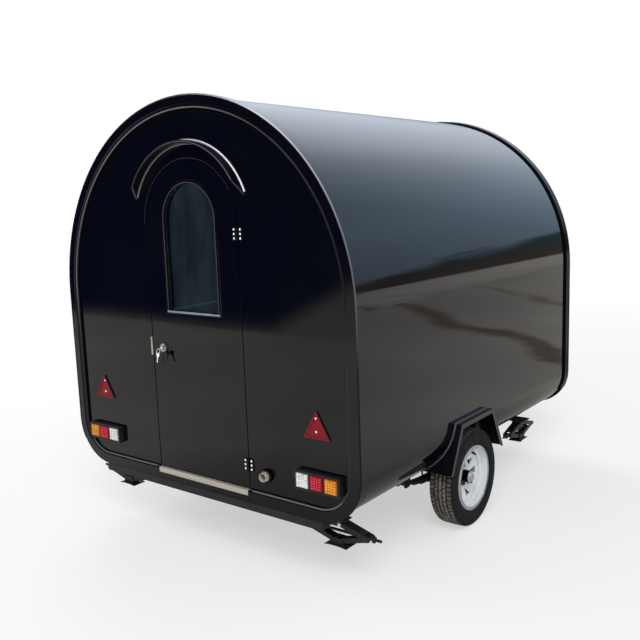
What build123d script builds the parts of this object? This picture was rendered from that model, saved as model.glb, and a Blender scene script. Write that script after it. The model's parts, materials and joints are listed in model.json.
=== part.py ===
"""Round-roofed food trailer: hollow cabin on a single-axle chassis with a drawbar, an arched rear
door, a serving hatch on the left side, a jockey wheel and four scissor stabiliser jacks.

Millimetres. +X is the trailer's right, +Y is forwards (the way it is towed), +Z is up.
The origin lies on the ground under the middle of the trailer's overall length.
"""
import math
import os

from build123d import *

os.makedirs("parts", exist_ok=True)

# Cabin, measured over the end trims
body_width = 2000
body_height = 1976
body_length = 2500
body_clearance = 346
corner_radius = 240
wall = 30

# End trims: rolled edge rings round both end walls, with a bead along their inner edge
trim_proud = 12
trim_face_width = 54
trim_band_depth = 57
trim_groove = 3
trim_bead_width = 12
trim_bead_proud = 9
trim_sheet = 3
wall_recess = 14

# Floor and chassis
floor_thickness = 21
rail_height = 69
rail_width = 50
beam_height = 40
beam_depth = 60
beam_reach = 15
cross_width = 40
cross_rear = 430
cross_behind_axle = 167
cross_ahead_axle = 173
cross_front = (800, 410)
seam = 0.5

# Door, its window and its fittings
door_half_width = 323
door_bottom_gap = 5
door_head_drop = 625
door_gap = 5
window_half_width = 182
window_drop = 430
window_rise = 31
window_rim_width = 12
window_rim_proud = 5
glass_thickness = 6
hinge_low_z = 536
hinge_head_drop = 38
hinge_height = 62
hinge_plate_width = 25
hinge_plate = 4
hinge_barrel_radius = 6
hinge_pin_radius = 3
hinge_axis_out = 10
lock_x = -237
lock_z = 1070
lock_radius = 23
lock_reach = 12
lock_plug_radius = 13
lock_plug_reach = 22
sill_thickness = 4
sill_drop = 24
visor_radius = 405
visor_thickness = 16
visor_reach = 48
visor_root_angle = 20
visor_lip_angle = 30

# Rear lamps, reflectors and drain
lamp_inset = 237
lamp_z = 535
lamp_width = 260
lamp_height = 92
lamp_depth = 30
lamp_corner = 8
lens_size = 76
lens_pitch = 82
lens_depth = 8
lens_seat = 4
reflector_inset = 242
reflector_base_z = 738
reflector_side = 150
reflector_thickness = 9
reflector_rim = 8
reflector_recess = 3
reflector_corner = 4
drain_share = 0.32
drain_z = 505
drain_radius = 23
drain_bore = 18
drain_reach = 42
drain_flange_radius = 34
drain_flange = 5

# Serving hatch in the left side
hatch_rear = 620
hatch_front = 400
hatch_bottom_z = 1130
hatch_top_drop = 252
hatch_gap = 5
hatch_hinge_places = (0.12, 0.5, 0.88)

# Wheels, wheel boxes, axle and springs
axle_from_rear = 1079
tyre_radius = 268
tyre_half_width = 76
tread_half_width = 58
tyre_shoulder = 26
tyre_shoulder_in = 2
tyre_corner_in = 7
tyre_corner_drop = 9
bead_radius = 165
bead_gap = 4
rim_half_width = 61
rim_flange = 6
rim_flange_height = 13
rim_wall = 5
rim_ledge_half = 32
rim_well_half = 25
rim_well = 14
rim_fold = 4
wheel_inset = 65
disc_face = -18
disc_sheet = 6
disc_edge = 10
disc_edge_out = 32
disc_shoulder = 28
disc_shoulder_out = 26
disc_root = 4
disc_root_out = 8
disc_flat = 14
hub_radius = 33
hub_flange = 8
hub_back = 46
hub_reach = 42
cap_radius = 27
cap_reach = 14
cap_taper = 6
vent_count = 5
vent_inner_radius = 86
vent_outer_radius = 130
vent_half_width = 22
wheel_box_top_z = 618
wheel_box_top_half = 188
wheel_box_slope = 0.49
wheel_box_bottom_z = 372
wheel_box_clear = 31
wheel_box_lip = 30
wheel_box_sheet = 4
wheel_box_flange = 7
wheel_box_hem = 22
axle_radius = 22
spindle_radius = 18
spring_half_span = 310
spring_leaf = 8
spring_width = 45
spring_drop = 34
spring_leaves = 3
spring_eye_radius = 16
spring_pin_radius = 8
clamp_width = 90
clamp_length = 130
clamp_thickness = 9
clamp_lap = 1
clamp_bolt_x = 34
clamp_bolt_y = 48
clamp_bolt_radius = 5
clamp_bolt_tail = 22
clamp_seat = 2
hanger_sheet = 6
hanger_width = 60
hanger_corner = 18

# Drawbar, coupler and jockey wheel
drawbar_reach = 1100
drawbar_overlap = 450
drawbar_root_inset = 175
drawbar_tip_x = 45
drawbar_tip_inset = 170
drawbar_width = 50
drawbar_height = 45
ball_radius = 25
ball_clearance = 0.5
ball_rise = 18
coupler_wall = 13
coupler_plate = 8
coupler_plate_length = 200
coupler_plate_margin = 20
coupler_plate_corner = 15
coupler_half_width = 35
coupler_mouth = 12
coupler_tail = 120
coupler_shoulder = 30
coupler_rise = (12, 30, 34)
coupler_chin = 10
lever_half_width = 14
lever_length = 190
lever_root = (20, 60)
lever_bend = 40
lever_rise = (24, 30, 50, 62, 74, 84)
chain_hole_radius = 10
chain_hole_inset = 30
jockey_from_tip = 430
jockey_tube_radius = 26
jockey_tube_wall = 4
jockey_tube_top_z = 760
jockey_travel = 125
jockey_wheel_radius = 70
jockey_wheel_width = 45
jockey_trail = 38
jockey_axle_radius = 7
jockey_axle_tail = 4
jockey_tube_raise = 25
jockey_tube_cap = 6
jockey_stem_gap = 20
jockey_plate = 8
jockey_plate_length = 110
jockey_crown = 10
jockey_king_pin_radius = 10
jockey_fork_sheet = 6
jockey_fork_gap = 3
jockey_fork_foot = (20, 16)
jockey_fork_head = (42, 34)
jockey_fork_below = 14
jockey_wheel_corner = 10
jockey_wheel_dish = 6
jockey_wheel_rings = (0.28, 0.3, 0.55, 0.6)
crank_spindle_radius = 8
crank_spindle_height = 34
crank_arm = (160, 22, 10)
crank_arm_out = 70
crank_arm_rise = 24
crank_grip_radius = 11
crank_grip_height = 96

# Scissor jacks
jack_rear_out = 2
jack_front_out = 58
jack_rear_inset = 150
jack_front_inset = 405
jack_arm_length = 160
jack_rest_drop = 43
jack_pivot_spacing = 44
jack_pivot_drop = 24
jack_arm_radius = 12
jack_sheet = 4
jack_upper_width = 52
jack_lower_width = 42
jack_pin_radius = 6
jack_knuckle_radius = 7
jack_knuckle_clear = 26
jack_plate = 6
jack_screw_radius = 7
jack_screw_tail = 20
jack_pin_tail = 3
jack_collar_radius = 16
jack_collar = 10
jack_crank_reach = 62
jack_ear_margin = 15
jack_ear_corner = 10
jack_foot_half_length = 66
jack_foot_width = 84
jack_foot_drop = 25
jack_foot_sheet = 9
jack_foot_bow = 5
jack_foot_point = 26

# Clearances: turning fits, faces of neighbouring bodies, and free room between moving pieces
pin_clearance = 0.3
side_clearance = 1.0
room = 5

# Places that follow from the sizes above
rear_overhang = drain_reach - wall_recess
overall_length = rear_overhang + body_length + drawbar_reach
rear_y = rear_overhang - overall_length / 2
front_y = rear_y + body_length
tip_y = front_y + drawbar_reach
rear_wall_y = rear_y + wall_recess
front_wall_y = front_y - wall_recess
axle_y = rear_y + axle_from_rear
corner_x = body_width / 2 - corner_radius
corner_z = body_clearance + corner_radius
crown_z = body_clearance + body_height - body_width / 2
shell_radius = body_width / 2 - trim_proud
rail_outer_x = corner_x
rail_x = rail_outer_x - rail_width / 2
rail_top_z = body_clearance + trim_proud + wall + 1
rail_bottom_z = rail_top_z - rail_height
floor_z = rail_top_z + floor_thickness
beam_top_z = body_clearance - seam
sill_z = floor_z - sill_thickness
door_bottom_z = floor_z + door_bottom_gap
roof_z = body_clearance + body_height
door_spring_z = roof_z - door_head_drop
window_bottom_z = door_spring_z - window_drop
window_spring_z = door_spring_z + window_rise
hinge_heights = (hinge_low_z, door_spring_z - hinge_head_drop)
hinge_x = door_half_width + door_gap / 2
hinge_y = rear_wall_y - hinge_axis_out
barrel_reach = hinge_barrel_radius + pin_clearance + side_clearance
lamp_x = body_width / 2 - lamp_inset
reflector_x = body_width / 2 - reflector_inset
hinge_edge_x = hinge_x + barrel_reach + hinge_plate_width
drain_x = hinge_edge_x + drain_share * (lamp_x - lamp_width / 2 - hinge_edge_x)
hatch_length = body_length - hatch_rear - hatch_front
hatch_top_z = roof_z - hatch_top_drop
wheel_centre_x = body_width / 2 - wheel_inset
wheel_box_inner_x = wheel_centre_x - tyre_half_width - wheel_box_clear
wheel_box_outer_x = body_width / 2 + wheel_box_lip
drawbar_root_x = rail_x - drawbar_root_inset
cross_places = (
    rear_y + cross_rear,
    axle_y - cross_behind_axle,
    axle_y + cross_ahead_axle,
    *(front_y - place for place in cross_front),
)
drawbar_top_z = rail_bottom_z
drawbar_bottom_z = drawbar_top_z - drawbar_height


def station(y):
    """End-view plane at a place along the trailer: sketch x is X, sketch y is Z."""
    return Plane(origin=(0, y, 0), x_dir=(1, 0, 0), z_dir=(0, -1, 0))


def flank(x):
    """Side-view plane: sketch x is Y, sketch y is Z."""
    return Plane.YZ.offset(x)


def outline(inset, base_z=None):
    """Body outline in end view, moved inwards, and cut off below base_z where one is given."""
    half = body_width / 2 - inset
    bottom_z = body_clearance + inset
    with BuildSketch() as face:
        with BuildLine():
            Line((-corner_x, bottom_z), (corner_x, bottom_z))
            CenterArc((corner_x, corner_z), corner_radius - inset, -90, 90)
            Line((half, corner_z), (half, crown_z))
            CenterArc((0, crown_z), half, 0, 180)
            Line((-half, crown_z), (-half, corner_z))
            CenterArc((-corner_x, corner_z), corner_radius - inset, 180, 90)
        make_face()
        if base_z is not None:
            with Locations((0, base_z)):
                Rectangle(body_width, body_height, align=(Align.CENTER, Align.MAX), mode=Mode.SUBTRACT)
    return face.sketch


def arch(half_width, bottom_z, spring_z):
    """Door or window outline in end view: straight sides under a half-round head."""
    with BuildSketch() as face:
        with BuildLine():
            Polyline(
                (half_width, spring_z),
                (half_width, bottom_z),
                (-half_width, bottom_z),
                (-half_width, spring_z),
            )
            CenterArc((0, spring_z), half_width, 0, 180)
        make_face()
    return face.sketch


def half_shell(side):
    """Wall section of one half of the cabin, from the ridge down to the chassis rail."""
    other_half = Align.MAX if side > 0 else Align.MIN
    with BuildSketch() as section:
        add(outline(trim_proud))
        add(outline(trim_proud + wall), mode=Mode.SUBTRACT)
        Rectangle(body_width, 3 * body_height, align=(other_half, Align.CENTER), mode=Mode.SUBTRACT)
        Rectangle(2 * corner_x, 2 * corner_z, mode=Mode.SUBTRACT)
    return section.sketch


def wheel_box_outline(bottom_z, grow=0):
    """Trapezoid of the wheel box in side view, grown or shrunk by its sheet or flange."""
    half_bottom = wheel_box_top_half + wheel_box_slope * (wheel_box_top_z - bottom_z)
    with BuildSketch() as face:
        with BuildLine():
            Polyline(
                (axle_y - half_bottom, bottom_z),
                (axle_y - wheel_box_top_half, wheel_box_top_z),
                (axle_y + wheel_box_top_half, wheel_box_top_z),
                (axle_y + half_bottom, bottom_z),
                close=True,
            )
        make_face()
        if grow:
            offset(amount=grow, kind=Kind.INTERSECTION)
    return face.sketch


def save(piece, name):
    """Label a finished piece and write it as its own file."""
    piece.part.label = name
    export_step(piece.part, f"parts/{name}.step")


# Chassis: two side rails, cross-members between them and a wider beam at the rear
rail_rear_y = rear_y + beam_depth
rail_front_y = front_wall_y - seam
with BuildPart() as chassis_rails:
    with Locations((rail_x, rail_rear_y, rail_bottom_z), (-rail_x, rail_rear_y, rail_bottom_z)):
        Box(rail_width, rail_front_y - rail_rear_y, rail_height, align=(Align.CENTER, Align.MIN, Align.MIN))
save(chassis_rails, "chassis_rails")

with BuildPart() as chassis_beams:
    beam_length = 2 * (rail_outer_x + beam_reach)
    with Locations((0, rail_rear_y, beam_top_z)):
        Box(beam_length, beam_depth, beam_height, align=(Align.CENTER, Align.MAX, Align.MAX))
    cross_length = 2 * (rail_x - rail_width / 2)
    with Locations([(0, place, rail_bottom_z) for place in cross_places]):
        Box(cross_length, cross_width, rail_height, align=(Align.CENTER, Align.CENTER, Align.MIN))
    with Locations((0, rail_front_y, rail_bottom_z)):
        Box(cross_length, cross_width, rail_height, align=(Align.CENTER, Align.MAX, Align.MIN))
save(chassis_beams, "chassis_beams")

# Drawbar: two tubes that run in under the chassis and close towards the coupler
drawbar_root_y = front_y - drawbar_overlap
drawbar_tip_y = tip_y - drawbar_tip_inset
with BuildPart() as drawbar:
    with BuildSketch(Plane.XY.offset(drawbar_bottom_z)):
        for side in (1, -1):
            with BuildLine():
                Polyline(
                    (side * (drawbar_root_x - drawbar_width / 2), drawbar_root_y),
                    (side * (drawbar_root_x + drawbar_width / 2), drawbar_root_y),
                    (side * (drawbar_tip_x + drawbar_width / 2), drawbar_tip_y),
                    (side * (drawbar_tip_x - drawbar_width / 2), drawbar_tip_y),
                    close=True,
                )
            make_face()
    extrude(amount=drawbar_height)
save(drawbar, "drawbar")

# Coupler: plate with chain holes, pressed body, domed head with a ball socket, and a lever
socket_radius = ball_radius + ball_clearance
head_radius = socket_radius + coupler_wall
ball_y = tip_y - head_radius
ball_z = drawbar_top_z + coupler_plate + ball_rise
plate_half_width = drawbar_tip_x + drawbar_width / 2 + coupler_plate_margin
chain_x = plate_half_width - coupler_plate_margin
chain_y = drawbar_tip_y - coupler_plate_length + chain_hole_inset
with BuildPart() as coupler:
    with BuildSketch(Plane.XY.offset(drawbar_top_z)) as plate:
        with Locations((0, drawbar_tip_y)):
            Rectangle(2 * plate_half_width, coupler_plate_length, align=(Align.CENTER, Align.MAX))
        fillet(plate.vertices(), coupler_plate_corner)
        with Locations((chain_x, chain_y), (-chain_x, chain_y)):
            Circle(chain_hole_radius, mode=Mode.SUBTRACT)
    extrude(amount=coupler_plate)
    tail_rise, shoulder_rise, head_rise = coupler_rise
    with BuildSketch(flank(0)):
        with BuildLine():
            Polyline(
                (drawbar_tip_y - coupler_tail, drawbar_top_z + coupler_plate),
                (drawbar_tip_y - coupler_tail, ball_z + tail_rise),
                (drawbar_tip_y - coupler_shoulder, ball_z + shoulder_rise),
                (ball_y, ball_z + head_rise),
                (ball_y, ball_z - coupler_chin),
                (drawbar_tip_y, drawbar_top_z + coupler_plate),
                close=True,
            )
        make_face()
    extrude(amount=coupler_half_width, both=True)
    with Locations((0, ball_y, ball_z)):
        Sphere(head_radius)
    with Locations((0, ball_y, ball_z - coupler_mouth)):
        Box(
            4 * head_radius, 2.2 * head_radius, 2 * head_radius,
            align=(Align.CENTER, Align.CENTER, Align.MAX), mode=Mode.SUBTRACT,
        )
    with Locations((0, ball_y, ball_z)):
        Sphere(socket_radius, mode=Mode.SUBTRACT)
        Cylinder(
            socket_radius, 2 * head_radius,
            align=(Align.CENTER, Align.CENTER, Align.MAX), mode=Mode.SUBTRACT,
        )
    root_low, root_high, elbow_low, elbow_high, grip_low, grip_high = (ball_z + rise for rise in lever_rise)
    lever_front, lever_back = lever_root
    with BuildSketch(flank(0)):
        with BuildLine():
            Polyline(
                (ball_y - lever_front, root_high),
                (ball_y - lever_bend, elbow_high),
                (ball_y - lever_length, grip_high),
                (ball_y - lever_length, grip_low),
                (ball_y - lever_back, elbow_low),
                (ball_y - lever_back, root_low),
                close=True,
            )
        make_face()
    extrude(amount=lever_half_width, both=True)
save(coupler, "coupler")

# Floor: a flat panel on the rails whose long edges follow the rounded sides
with BuildPart() as floor:
    with BuildSketch(station(rear_wall_y)):
        add(outline(trim_proud + wall + seam))
        with Locations((0, floor_z)):
            Rectangle(body_width, body_height, align=(Align.CENTER, Align.MIN), mode=Mode.SUBTRACT)
        with Locations((0, rail_top_z)):
            Rectangle(body_width, body_height, align=(Align.CENTER, Align.MAX), mode=Mode.SUBTRACT)
    extrude(amount=front_wall_y - rear_wall_y, dir=(0, 1, 0))
    for side in (1, -1):
        with BuildSketch(flank(side * wheel_box_inner_x)):
            add(wheel_box_outline(rail_bottom_z))
        extrude(amount=body_width, dir=(side, 0, 0), mode=Mode.SUBTRACT)
save(floor, "floor")

# Cabin shell: right and left halves that meet along the ridge
for side, name in ((1, "right_shell"), (-1, "left_shell")):
    with BuildPart() as shell:
        with BuildSketch(station(rear_wall_y)):
            add(half_shell(side))
        extrude(amount=front_wall_y - rear_wall_y, dir=(0, 1, 0))
        with BuildSketch(flank(side * wheel_box_inner_x)):
            add(wheel_box_outline(0))
        extrude(amount=body_width, dir=(side, 0, 0), mode=Mode.SUBTRACT)
        if side < 0:
            with Locations((-body_width / 2, rear_y + hatch_rear, hatch_bottom_z)):
                Box(
                    body_width, hatch_length, hatch_top_z - hatch_bottom_z,
                    align=(Align.CENTER, Align.MIN, Align.MIN), mode=Mode.SUBTRACT,
                )
    save(shell, name)

# Rear wall with the arched doorway, and a plain front wall
with BuildPart() as rear_wall:
    with BuildSketch(station(rear_wall_y)):
        add(outline(trim_proud + wall + seam, floor_z))
        add(arch(door_half_width + door_gap, 0, door_spring_z), mode=Mode.SUBTRACT)
    extrude(amount=wall, dir=(0, 1, 0))
save(rear_wall, "rear_wall")

with BuildPart() as front_wall:
    with BuildSketch(station(front_wall_y)):
        add(outline(trim_proud + wall + seam, floor_z))
    extrude(amount=wall, dir=(0, -1, 0))
save(front_wall, "front_wall")

# End trims: a flat face ring, a bead inside it and a band lapped over the shell; the door notches the rear one
trim_inner = trim_face_width + trim_groove + trim_bead_width
trim_rings = (
    # outer inset, inner inset, depth off the wall
    (0, trim_face_width, wall_recess),
    (0, trim_inner, trim_sheet),
    (trim_face_width + trim_groove, trim_inner, trim_bead_proud),
)
with BuildPart() as end_trims:
    for wall_y, inwards in ((rear_wall_y, 1), (front_wall_y, -1)):
        for outer, inner, depth in trim_rings:
            with BuildSketch(station(wall_y)):
                add(outline(outer))
                add(outline(inner), mode=Mode.SUBTRACT)
                if inwards > 0:
                    with Locations((0, sill_z)):
                        Rectangle(
                            2 * (door_half_width + 2 * door_gap), body_height / 10,
                            align=(Align.CENTER, Align.MIN), mode=Mode.SUBTRACT,
                        )
            extrude(amount=depth, dir=(0, -inwards, 0))
        with BuildSketch(station(wall_y)):
            add(outline(0, corner_z - corner_radius / 2))
            add(outline(trim_proud), mode=Mode.SUBTRACT)
        extrude(amount=trim_band_depth - wall_recess, dir=(0, inwards, 0))
save(end_trims, "end_trims")

# Door sill: an aluminium angle over the notch in the rear trim
with BuildPart() as door_sill:
    with BuildSketch(flank(0)):
        with BuildLine():
            Polyline(
                (rear_wall_y, sill_z),
                (rear_wall_y, sill_z + sill_thickness),
                (rear_y - sill_thickness, sill_z + sill_thickness),
                (rear_y - sill_thickness, sill_z - sill_drop),
                (rear_y, sill_z - sill_drop),
                (rear_y, sill_z),
                close=True,
            )
        make_face()
    extrude(amount=door_half_width, both=True)
save(door_sill, "door_sill")

# Visor: an arched drip moulding over the door whose ends slant back
visor_outer = visor_radius + visor_thickness / 2
visor_inner = visor_radius - visor_thickness / 2
with BuildPart() as visor:
    with BuildSketch(station(rear_wall_y)):
        with Locations((0, door_spring_z)):
            Circle(visor_outer)
            Circle(visor_inner, mode=Mode.SUBTRACT)
    extrude(amount=visor_reach, dir=(0, -1, 0))
    root_z = door_spring_z + visor_radius * math.sin(math.radians(visor_root_angle))
    lip_z = door_spring_z + visor_radius * math.sin(math.radians(visor_lip_angle))
    with BuildSketch(flank(0)):
        with BuildLine():
            Polyline(
                (rear_wall_y, root_z),
                (rear_wall_y - visor_reach, lip_z),
                (rear_wall_y - visor_reach, door_spring_z - 2 * visor_outer),
                (rear_wall_y, door_spring_z - 2 * visor_outer),
                close=True,
            )
        make_face()
    extrude(amount=2 * visor_outer, both=True, mode=Mode.SUBTRACT)
save(visor, "visor")

# Drain outlet: a short pipe with a flange on the rear wall
with BuildPart() as drain_outlet:
    with BuildSketch(station(rear_wall_y)):
        with Locations((drain_x, drain_z)):
            Circle(drain_flange_radius)
            Circle(drain_bore, mode=Mode.SUBTRACT)
    extrude(amount=drain_flange, dir=(0, -1, 0))
    with BuildSketch(station(rear_wall_y)):
        with Locations((drain_x, drain_z)):
            Circle(drain_radius)
            Circle(drain_bore, mode=Mode.SUBTRACT)
    extrude(amount=drain_reach, dir=(0, -1, 0))
save(drain_outlet, "drain_outlet")

# Rear lamps: rounded housings with three square pockets each, and the lenses that sit in them
lens_places = [(side * lamp_x + step * lens_pitch, lamp_z) for side in (1, -1) for step in (-1, 0, 1)]
with BuildPart() as lamp_housings:
    with BuildSketch(station(rear_wall_y)):
        with Locations((lamp_x, lamp_z), (-lamp_x, lamp_z)):
            RectangleRounded(lamp_width, lamp_height, lamp_corner)
    extrude(amount=lamp_depth, dir=(0, -1, 0))
    with BuildSketch(station(rear_wall_y - lamp_depth + lens_seat)):
        with Locations(lens_places):
            Rectangle(lens_size, lens_size)
    extrude(amount=lens_depth, dir=(0, -1, 0), mode=Mode.SUBTRACT)
save(lamp_housings, "lamp_housings")

with BuildPart() as lamp_lenses:
    with BuildSketch(station(rear_wall_y - lamp_depth + lens_seat)):
        with Locations(lens_places):
            Rectangle(lens_size - 2 * seam, lens_size - 2 * seam)
    extrude(amount=lens_depth, dir=(0, -1, 0))
save(lamp_lenses, "lamp_lenses")

# Reflectors: red triangles with a raised rim
reflector_height = reflector_side * math.sqrt(3) / 2
with BuildPart() as triangle_reflectors:
    for face_out, reach, shrink, mode in (
        (0, reflector_thickness, 0, Mode.ADD),
        (reflector_thickness - reflector_recess, reflector_recess, reflector_rim, Mode.SUBTRACT),
    ):
        with BuildSketch(station(rear_wall_y - face_out)) as triangles:
            for side in (1, -1):
                with BuildLine():
                    Polyline(
                        (side * reflector_x - reflector_side / 2, reflector_base_z),
                        (side * reflector_x + reflector_side / 2, reflector_base_z),
                        (side * reflector_x, reflector_base_z + reflector_height),
                        close=True,
                    )
                make_face()
            if shrink:
                offset(amount=-shrink, kind=Kind.INTERSECTION, mode=Mode.REPLACE)
            fillet(triangles.vertices(), reflector_corner)
        extrude(amount=reach, dir=(0, -1, 0), mode=mode)
save(triangle_reflectors, "triangle_reflectors")

# Wheel boxes: folded sheet tunnels let into the sides, with a flange along the shell and a turned-in hem
with BuildPart() as wheel_boxes:
    box_half = wheel_box_top_half + wheel_box_slope * (wheel_box_top_z - wheel_box_bottom_z)
    with BuildSketch(station(axle_y - 2 * box_half)):
        add(outline(trim_proud - wheel_box_sheet))
        add(outline(trim_proud), mode=Mode.SUBTRACT)
    extrude(amount=4 * box_half, dir=(0, 1, 0))
    with BuildSketch(flank(-body_width)):
        add(wheel_box_outline(wheel_box_bottom_z, wheel_box_flange))
        add(wheel_box_outline(0), mode=Mode.SUBTRACT)
        with Locations((axle_y, wheel_box_bottom_z)):
            Rectangle(4 * box_half, body_height, align=(Align.CENTER, Align.MAX), mode=Mode.SUBTRACT)
    extrude(amount=2 * body_width, mode=Mode.INTERSECT)
    for side in (1, -1):
        with BuildSketch(flank(side * wheel_box_inner_x)):
            add(wheel_box_outline(wheel_box_bottom_z))
        extrude(amount=wheel_box_outer_x - wheel_box_inner_x, dir=(side, 0, 0))
        with BuildSketch(flank(side * (wheel_box_inner_x + wheel_box_sheet))):
            add(wheel_box_outline(0, -wheel_box_sheet))
        extrude(amount=body_width, dir=(side, 0, 0), mode=Mode.SUBTRACT)
        with BuildSketch(flank(side * (wheel_box_outer_x - wheel_box_sheet))):
            add(wheel_box_outline(wheel_box_bottom_z))
            add(wheel_box_outline(0, -wheel_box_hem), mode=Mode.SUBTRACT)
        extrude(amount=wheel_box_sheet, dir=(side, 0, 0))
save(wheel_boxes, "wheel_boxes")

# Axle: a round tube under the rails with a spindle at each end
hub_inner_x = wheel_centre_x - hub_back
with BuildPart() as axle:
    with BuildSketch(flank(0)):
        with Locations((axle_y, tyre_radius)):
            Circle(axle_radius)
    extrude(amount=hub_inner_x - room, both=True)
    with BuildSketch(flank(0)):
        with Locations((axle_y, tyre_radius)):
            Circle(spindle_radius)
    extrude(amount=wheel_centre_x + hub_reach - room, both=True)
save(axle, "axle")

# Leaf springs under the axle: bowed leaves of falling length, rolled eyes and a clamp plate
spring_top_z = tyre_radius - axle_radius
spring_end_z = spring_top_z + spring_drop
spring_radius = (spring_half_span**2 + spring_drop**2) / (2 * spring_drop)
spring_centre_z = spring_top_z + spring_radius
leaf_cut = spring_half_span / (spring_leaves + 1)
with BuildPart() as leaf_springs:
    for side in (1, -1):
        for leaf in range(spring_leaves):
            reach = spring_half_span - leaf * leaf_cut
            outer = spring_radius + (leaf + 1) * spring_leaf
            inner = spring_radius + leaf * spring_leaf
            with BuildSketch(flank(side * rail_x)):
                with Locations((axle_y, spring_centre_z)):
                    Circle(outer)
                    Circle(inner, mode=Mode.SUBTRACT)
                with Locations((axle_y, spring_centre_z)):
                    Rectangle(2 * reach, 3 * outer, align=(Align.CENTER, Align.MAX), mode=Mode.INTERSECT)
            extrude(amount=spring_width / 2, both=True)
        eye_z = spring_end_z + spring_leaf / 2
        with BuildSketch(flank(side * rail_x)):
            with Locations((axle_y - spring_half_span, eye_z), (axle_y + spring_half_span, eye_z)):
                Circle(spring_eye_radius)
        extrude(amount=spring_width / 2, both=True)
        with BuildSketch(flank(side * rail_x)):
            with Locations((axle_y - spring_half_span, eye_z), (axle_y + spring_half_span, eye_z)):
                Circle(spring_pin_radius + pin_clearance)
        extrude(amount=spring_width, both=True, mode=Mode.SUBTRACT)
        clamp_z = spring_top_z - spring_leaves * spring_leaf
        with Locations((side * rail_x, axle_y, clamp_z + clamp_lap)):
            Box(clamp_width, clamp_length, clamp_thickness, align=(Align.CENTER, Align.CENTER, Align.MAX))
        bridge_z = tyre_radius + axle_radius + clamp_seat
        bolt_bottom_z = clamp_z - clamp_bolt_tail
        for bolt_x in (rail_x - clamp_bolt_x, rail_x + clamp_bolt_x):
            with Locations([(side * bolt_x, axle_y + end * clamp_bolt_y, bolt_bottom_z) for end in (-1, 1)]):
                Cylinder(
                    clamp_bolt_radius, bridge_z + clamp_bolt_radius - bolt_bottom_z,
                    align=(Align.CENTER, Align.CENTER, Align.MIN),
                )
            with Locations((side * bolt_x, axle_y, bridge_z)):
                Box(
                    2 * clamp_bolt_radius, 2 * (clamp_bolt_y + clamp_bolt_radius), 2 * clamp_bolt_radius,
                    align=(Align.CENTER, Align.CENTER, Align.MIN),
                )
save(leaf_springs, "leaf_springs")

# Jacks: name, place of the middle, crank direction
jack_rear_x = rail_outer_x + jack_rear_out
jack_rear_y = rear_y + jack_rear_inset
jack_front_x = rail_outer_x + jack_front_out
jack_front_y = front_y - jack_front_inset
jack_layout = (
    ("rear_right", (jack_rear_x, jack_rear_y), (1, 0)),
    ("rear_left", (-jack_rear_x, jack_rear_y), (-1, 0)),
    ("front_right", (jack_front_x, jack_front_y), (0, -1)),
    ("front_left", (-jack_front_x, jack_front_y), (0, -1)),
)
jack_arm_run = math.sqrt(jack_arm_length**2 - jack_rest_drop**2)
jack_top_z = rail_bottom_z - jack_pivot_drop
jack_mid_z = jack_top_z - jack_rest_drop
jack_foot_z = jack_mid_z - jack_rest_drop
jack_pivot = jack_pivot_spacing / 2
jack_knuckle = jack_pivot + jack_arm_run
jack_ear_inner = jack_upper_width / 2 + side_clearance
jack_ear_outer = jack_ear_inner + jack_sheet


def jack_plane(place, crank):
    """Side view of a jack: sketch x runs along the screw towards the crank, sketch y is Z."""
    return Plane(origin=(*place, 0), x_dir=(*crank, 0), z_dir=(crank[1], -crank[0], 0))


def round_bar(plane, centre, radius, half_length):
    """Pin across a plane."""
    with BuildPart() as bar:
        with BuildSketch(plane):
            with Locations(centre):
                Circle(radius)
        extrude(amount=half_length, both=True)
    return bar.part


# Brackets welded under the rails: jack tops with their pivot pins, and spring hangers
with BuildPart() as frame_brackets:
    for name, place, crank in jack_layout:
        plane = jack_plane(place, crank)
        inboard = rail_x - rail_width / 2
        outboard = abs(place[0]) + jack_ear_outer + jack_pivot
        span = 2 * (jack_ear_outer + jack_pivot * abs(crank[1]))
        with Locations((math.copysign((inboard + outboard) / 2, place[0]), place[1], rail_bottom_z)):
            Box(outboard - inboard, span, jack_plate, align=(Align.CENTER, Align.CENTER, Align.MAX))
        with BuildSketch(plane) as ear:
            with Locations((0, rail_bottom_z - jack_plate)):
                Rectangle(
                    jack_pivot_spacing + 2 * jack_ear_margin, jack_pivot_drop - jack_plate + jack_ear_corner,
                    align=(Align.CENTER, Align.MAX),
                )
            fillet(ear.vertices().group_by(Axis.Z)[0], jack_ear_corner)
        extrude(amount=jack_ear_outer, both=True)
        with BuildSketch(plane):
            with Locations((0, rail_bottom_z - jack_plate)):
                Rectangle(2 * jack_knuckle, body_clearance, align=(Align.CENTER, Align.MAX))
        extrude(amount=jack_ear_inner, both=True, mode=Mode.SUBTRACT)
        for place_u in (-jack_pivot, jack_pivot):
            add(round_bar(plane, (place_u, jack_top_z), jack_pin_radius, jack_ear_outer))
    for side in (1, -1):
        for end in (-1, 1):
            with BuildSketch(flank(side * rail_x)) as hanger:
                with Locations((axle_y + end * spring_half_span, rail_bottom_z)):
                    Rectangle(
                        hanger_width, rail_bottom_z - eye_z + spring_eye_radius + hanger_sheet,
                        align=(Align.CENTER, Align.MAX),
                    )
                fillet(hanger.vertices().group_by(Axis.Z)[0], hanger_corner)
            hanger_half = spring_width / 2 + pin_clearance + hanger_sheet
            extrude(amount=hanger_half, both=True)
            with BuildSketch(flank(side * rail_x)):
                with Locations((axle_y + end * spring_half_span, rail_bottom_z - hanger_sheet)):
                    Rectangle(2 * hanger_width, body_clearance, align=(Align.CENTER, Align.MAX))
            extrude(amount=hanger_half - hanger_sheet, both=True, mode=Mode.SUBTRACT)
            eye_place = (axle_y + end * spring_half_span, eye_z)
            add(round_bar(flank(side * rail_x), eye_place, spring_pin_radius, hanger_half + hanger_sheet))
save(frame_brackets, "frame_brackets")


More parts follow.
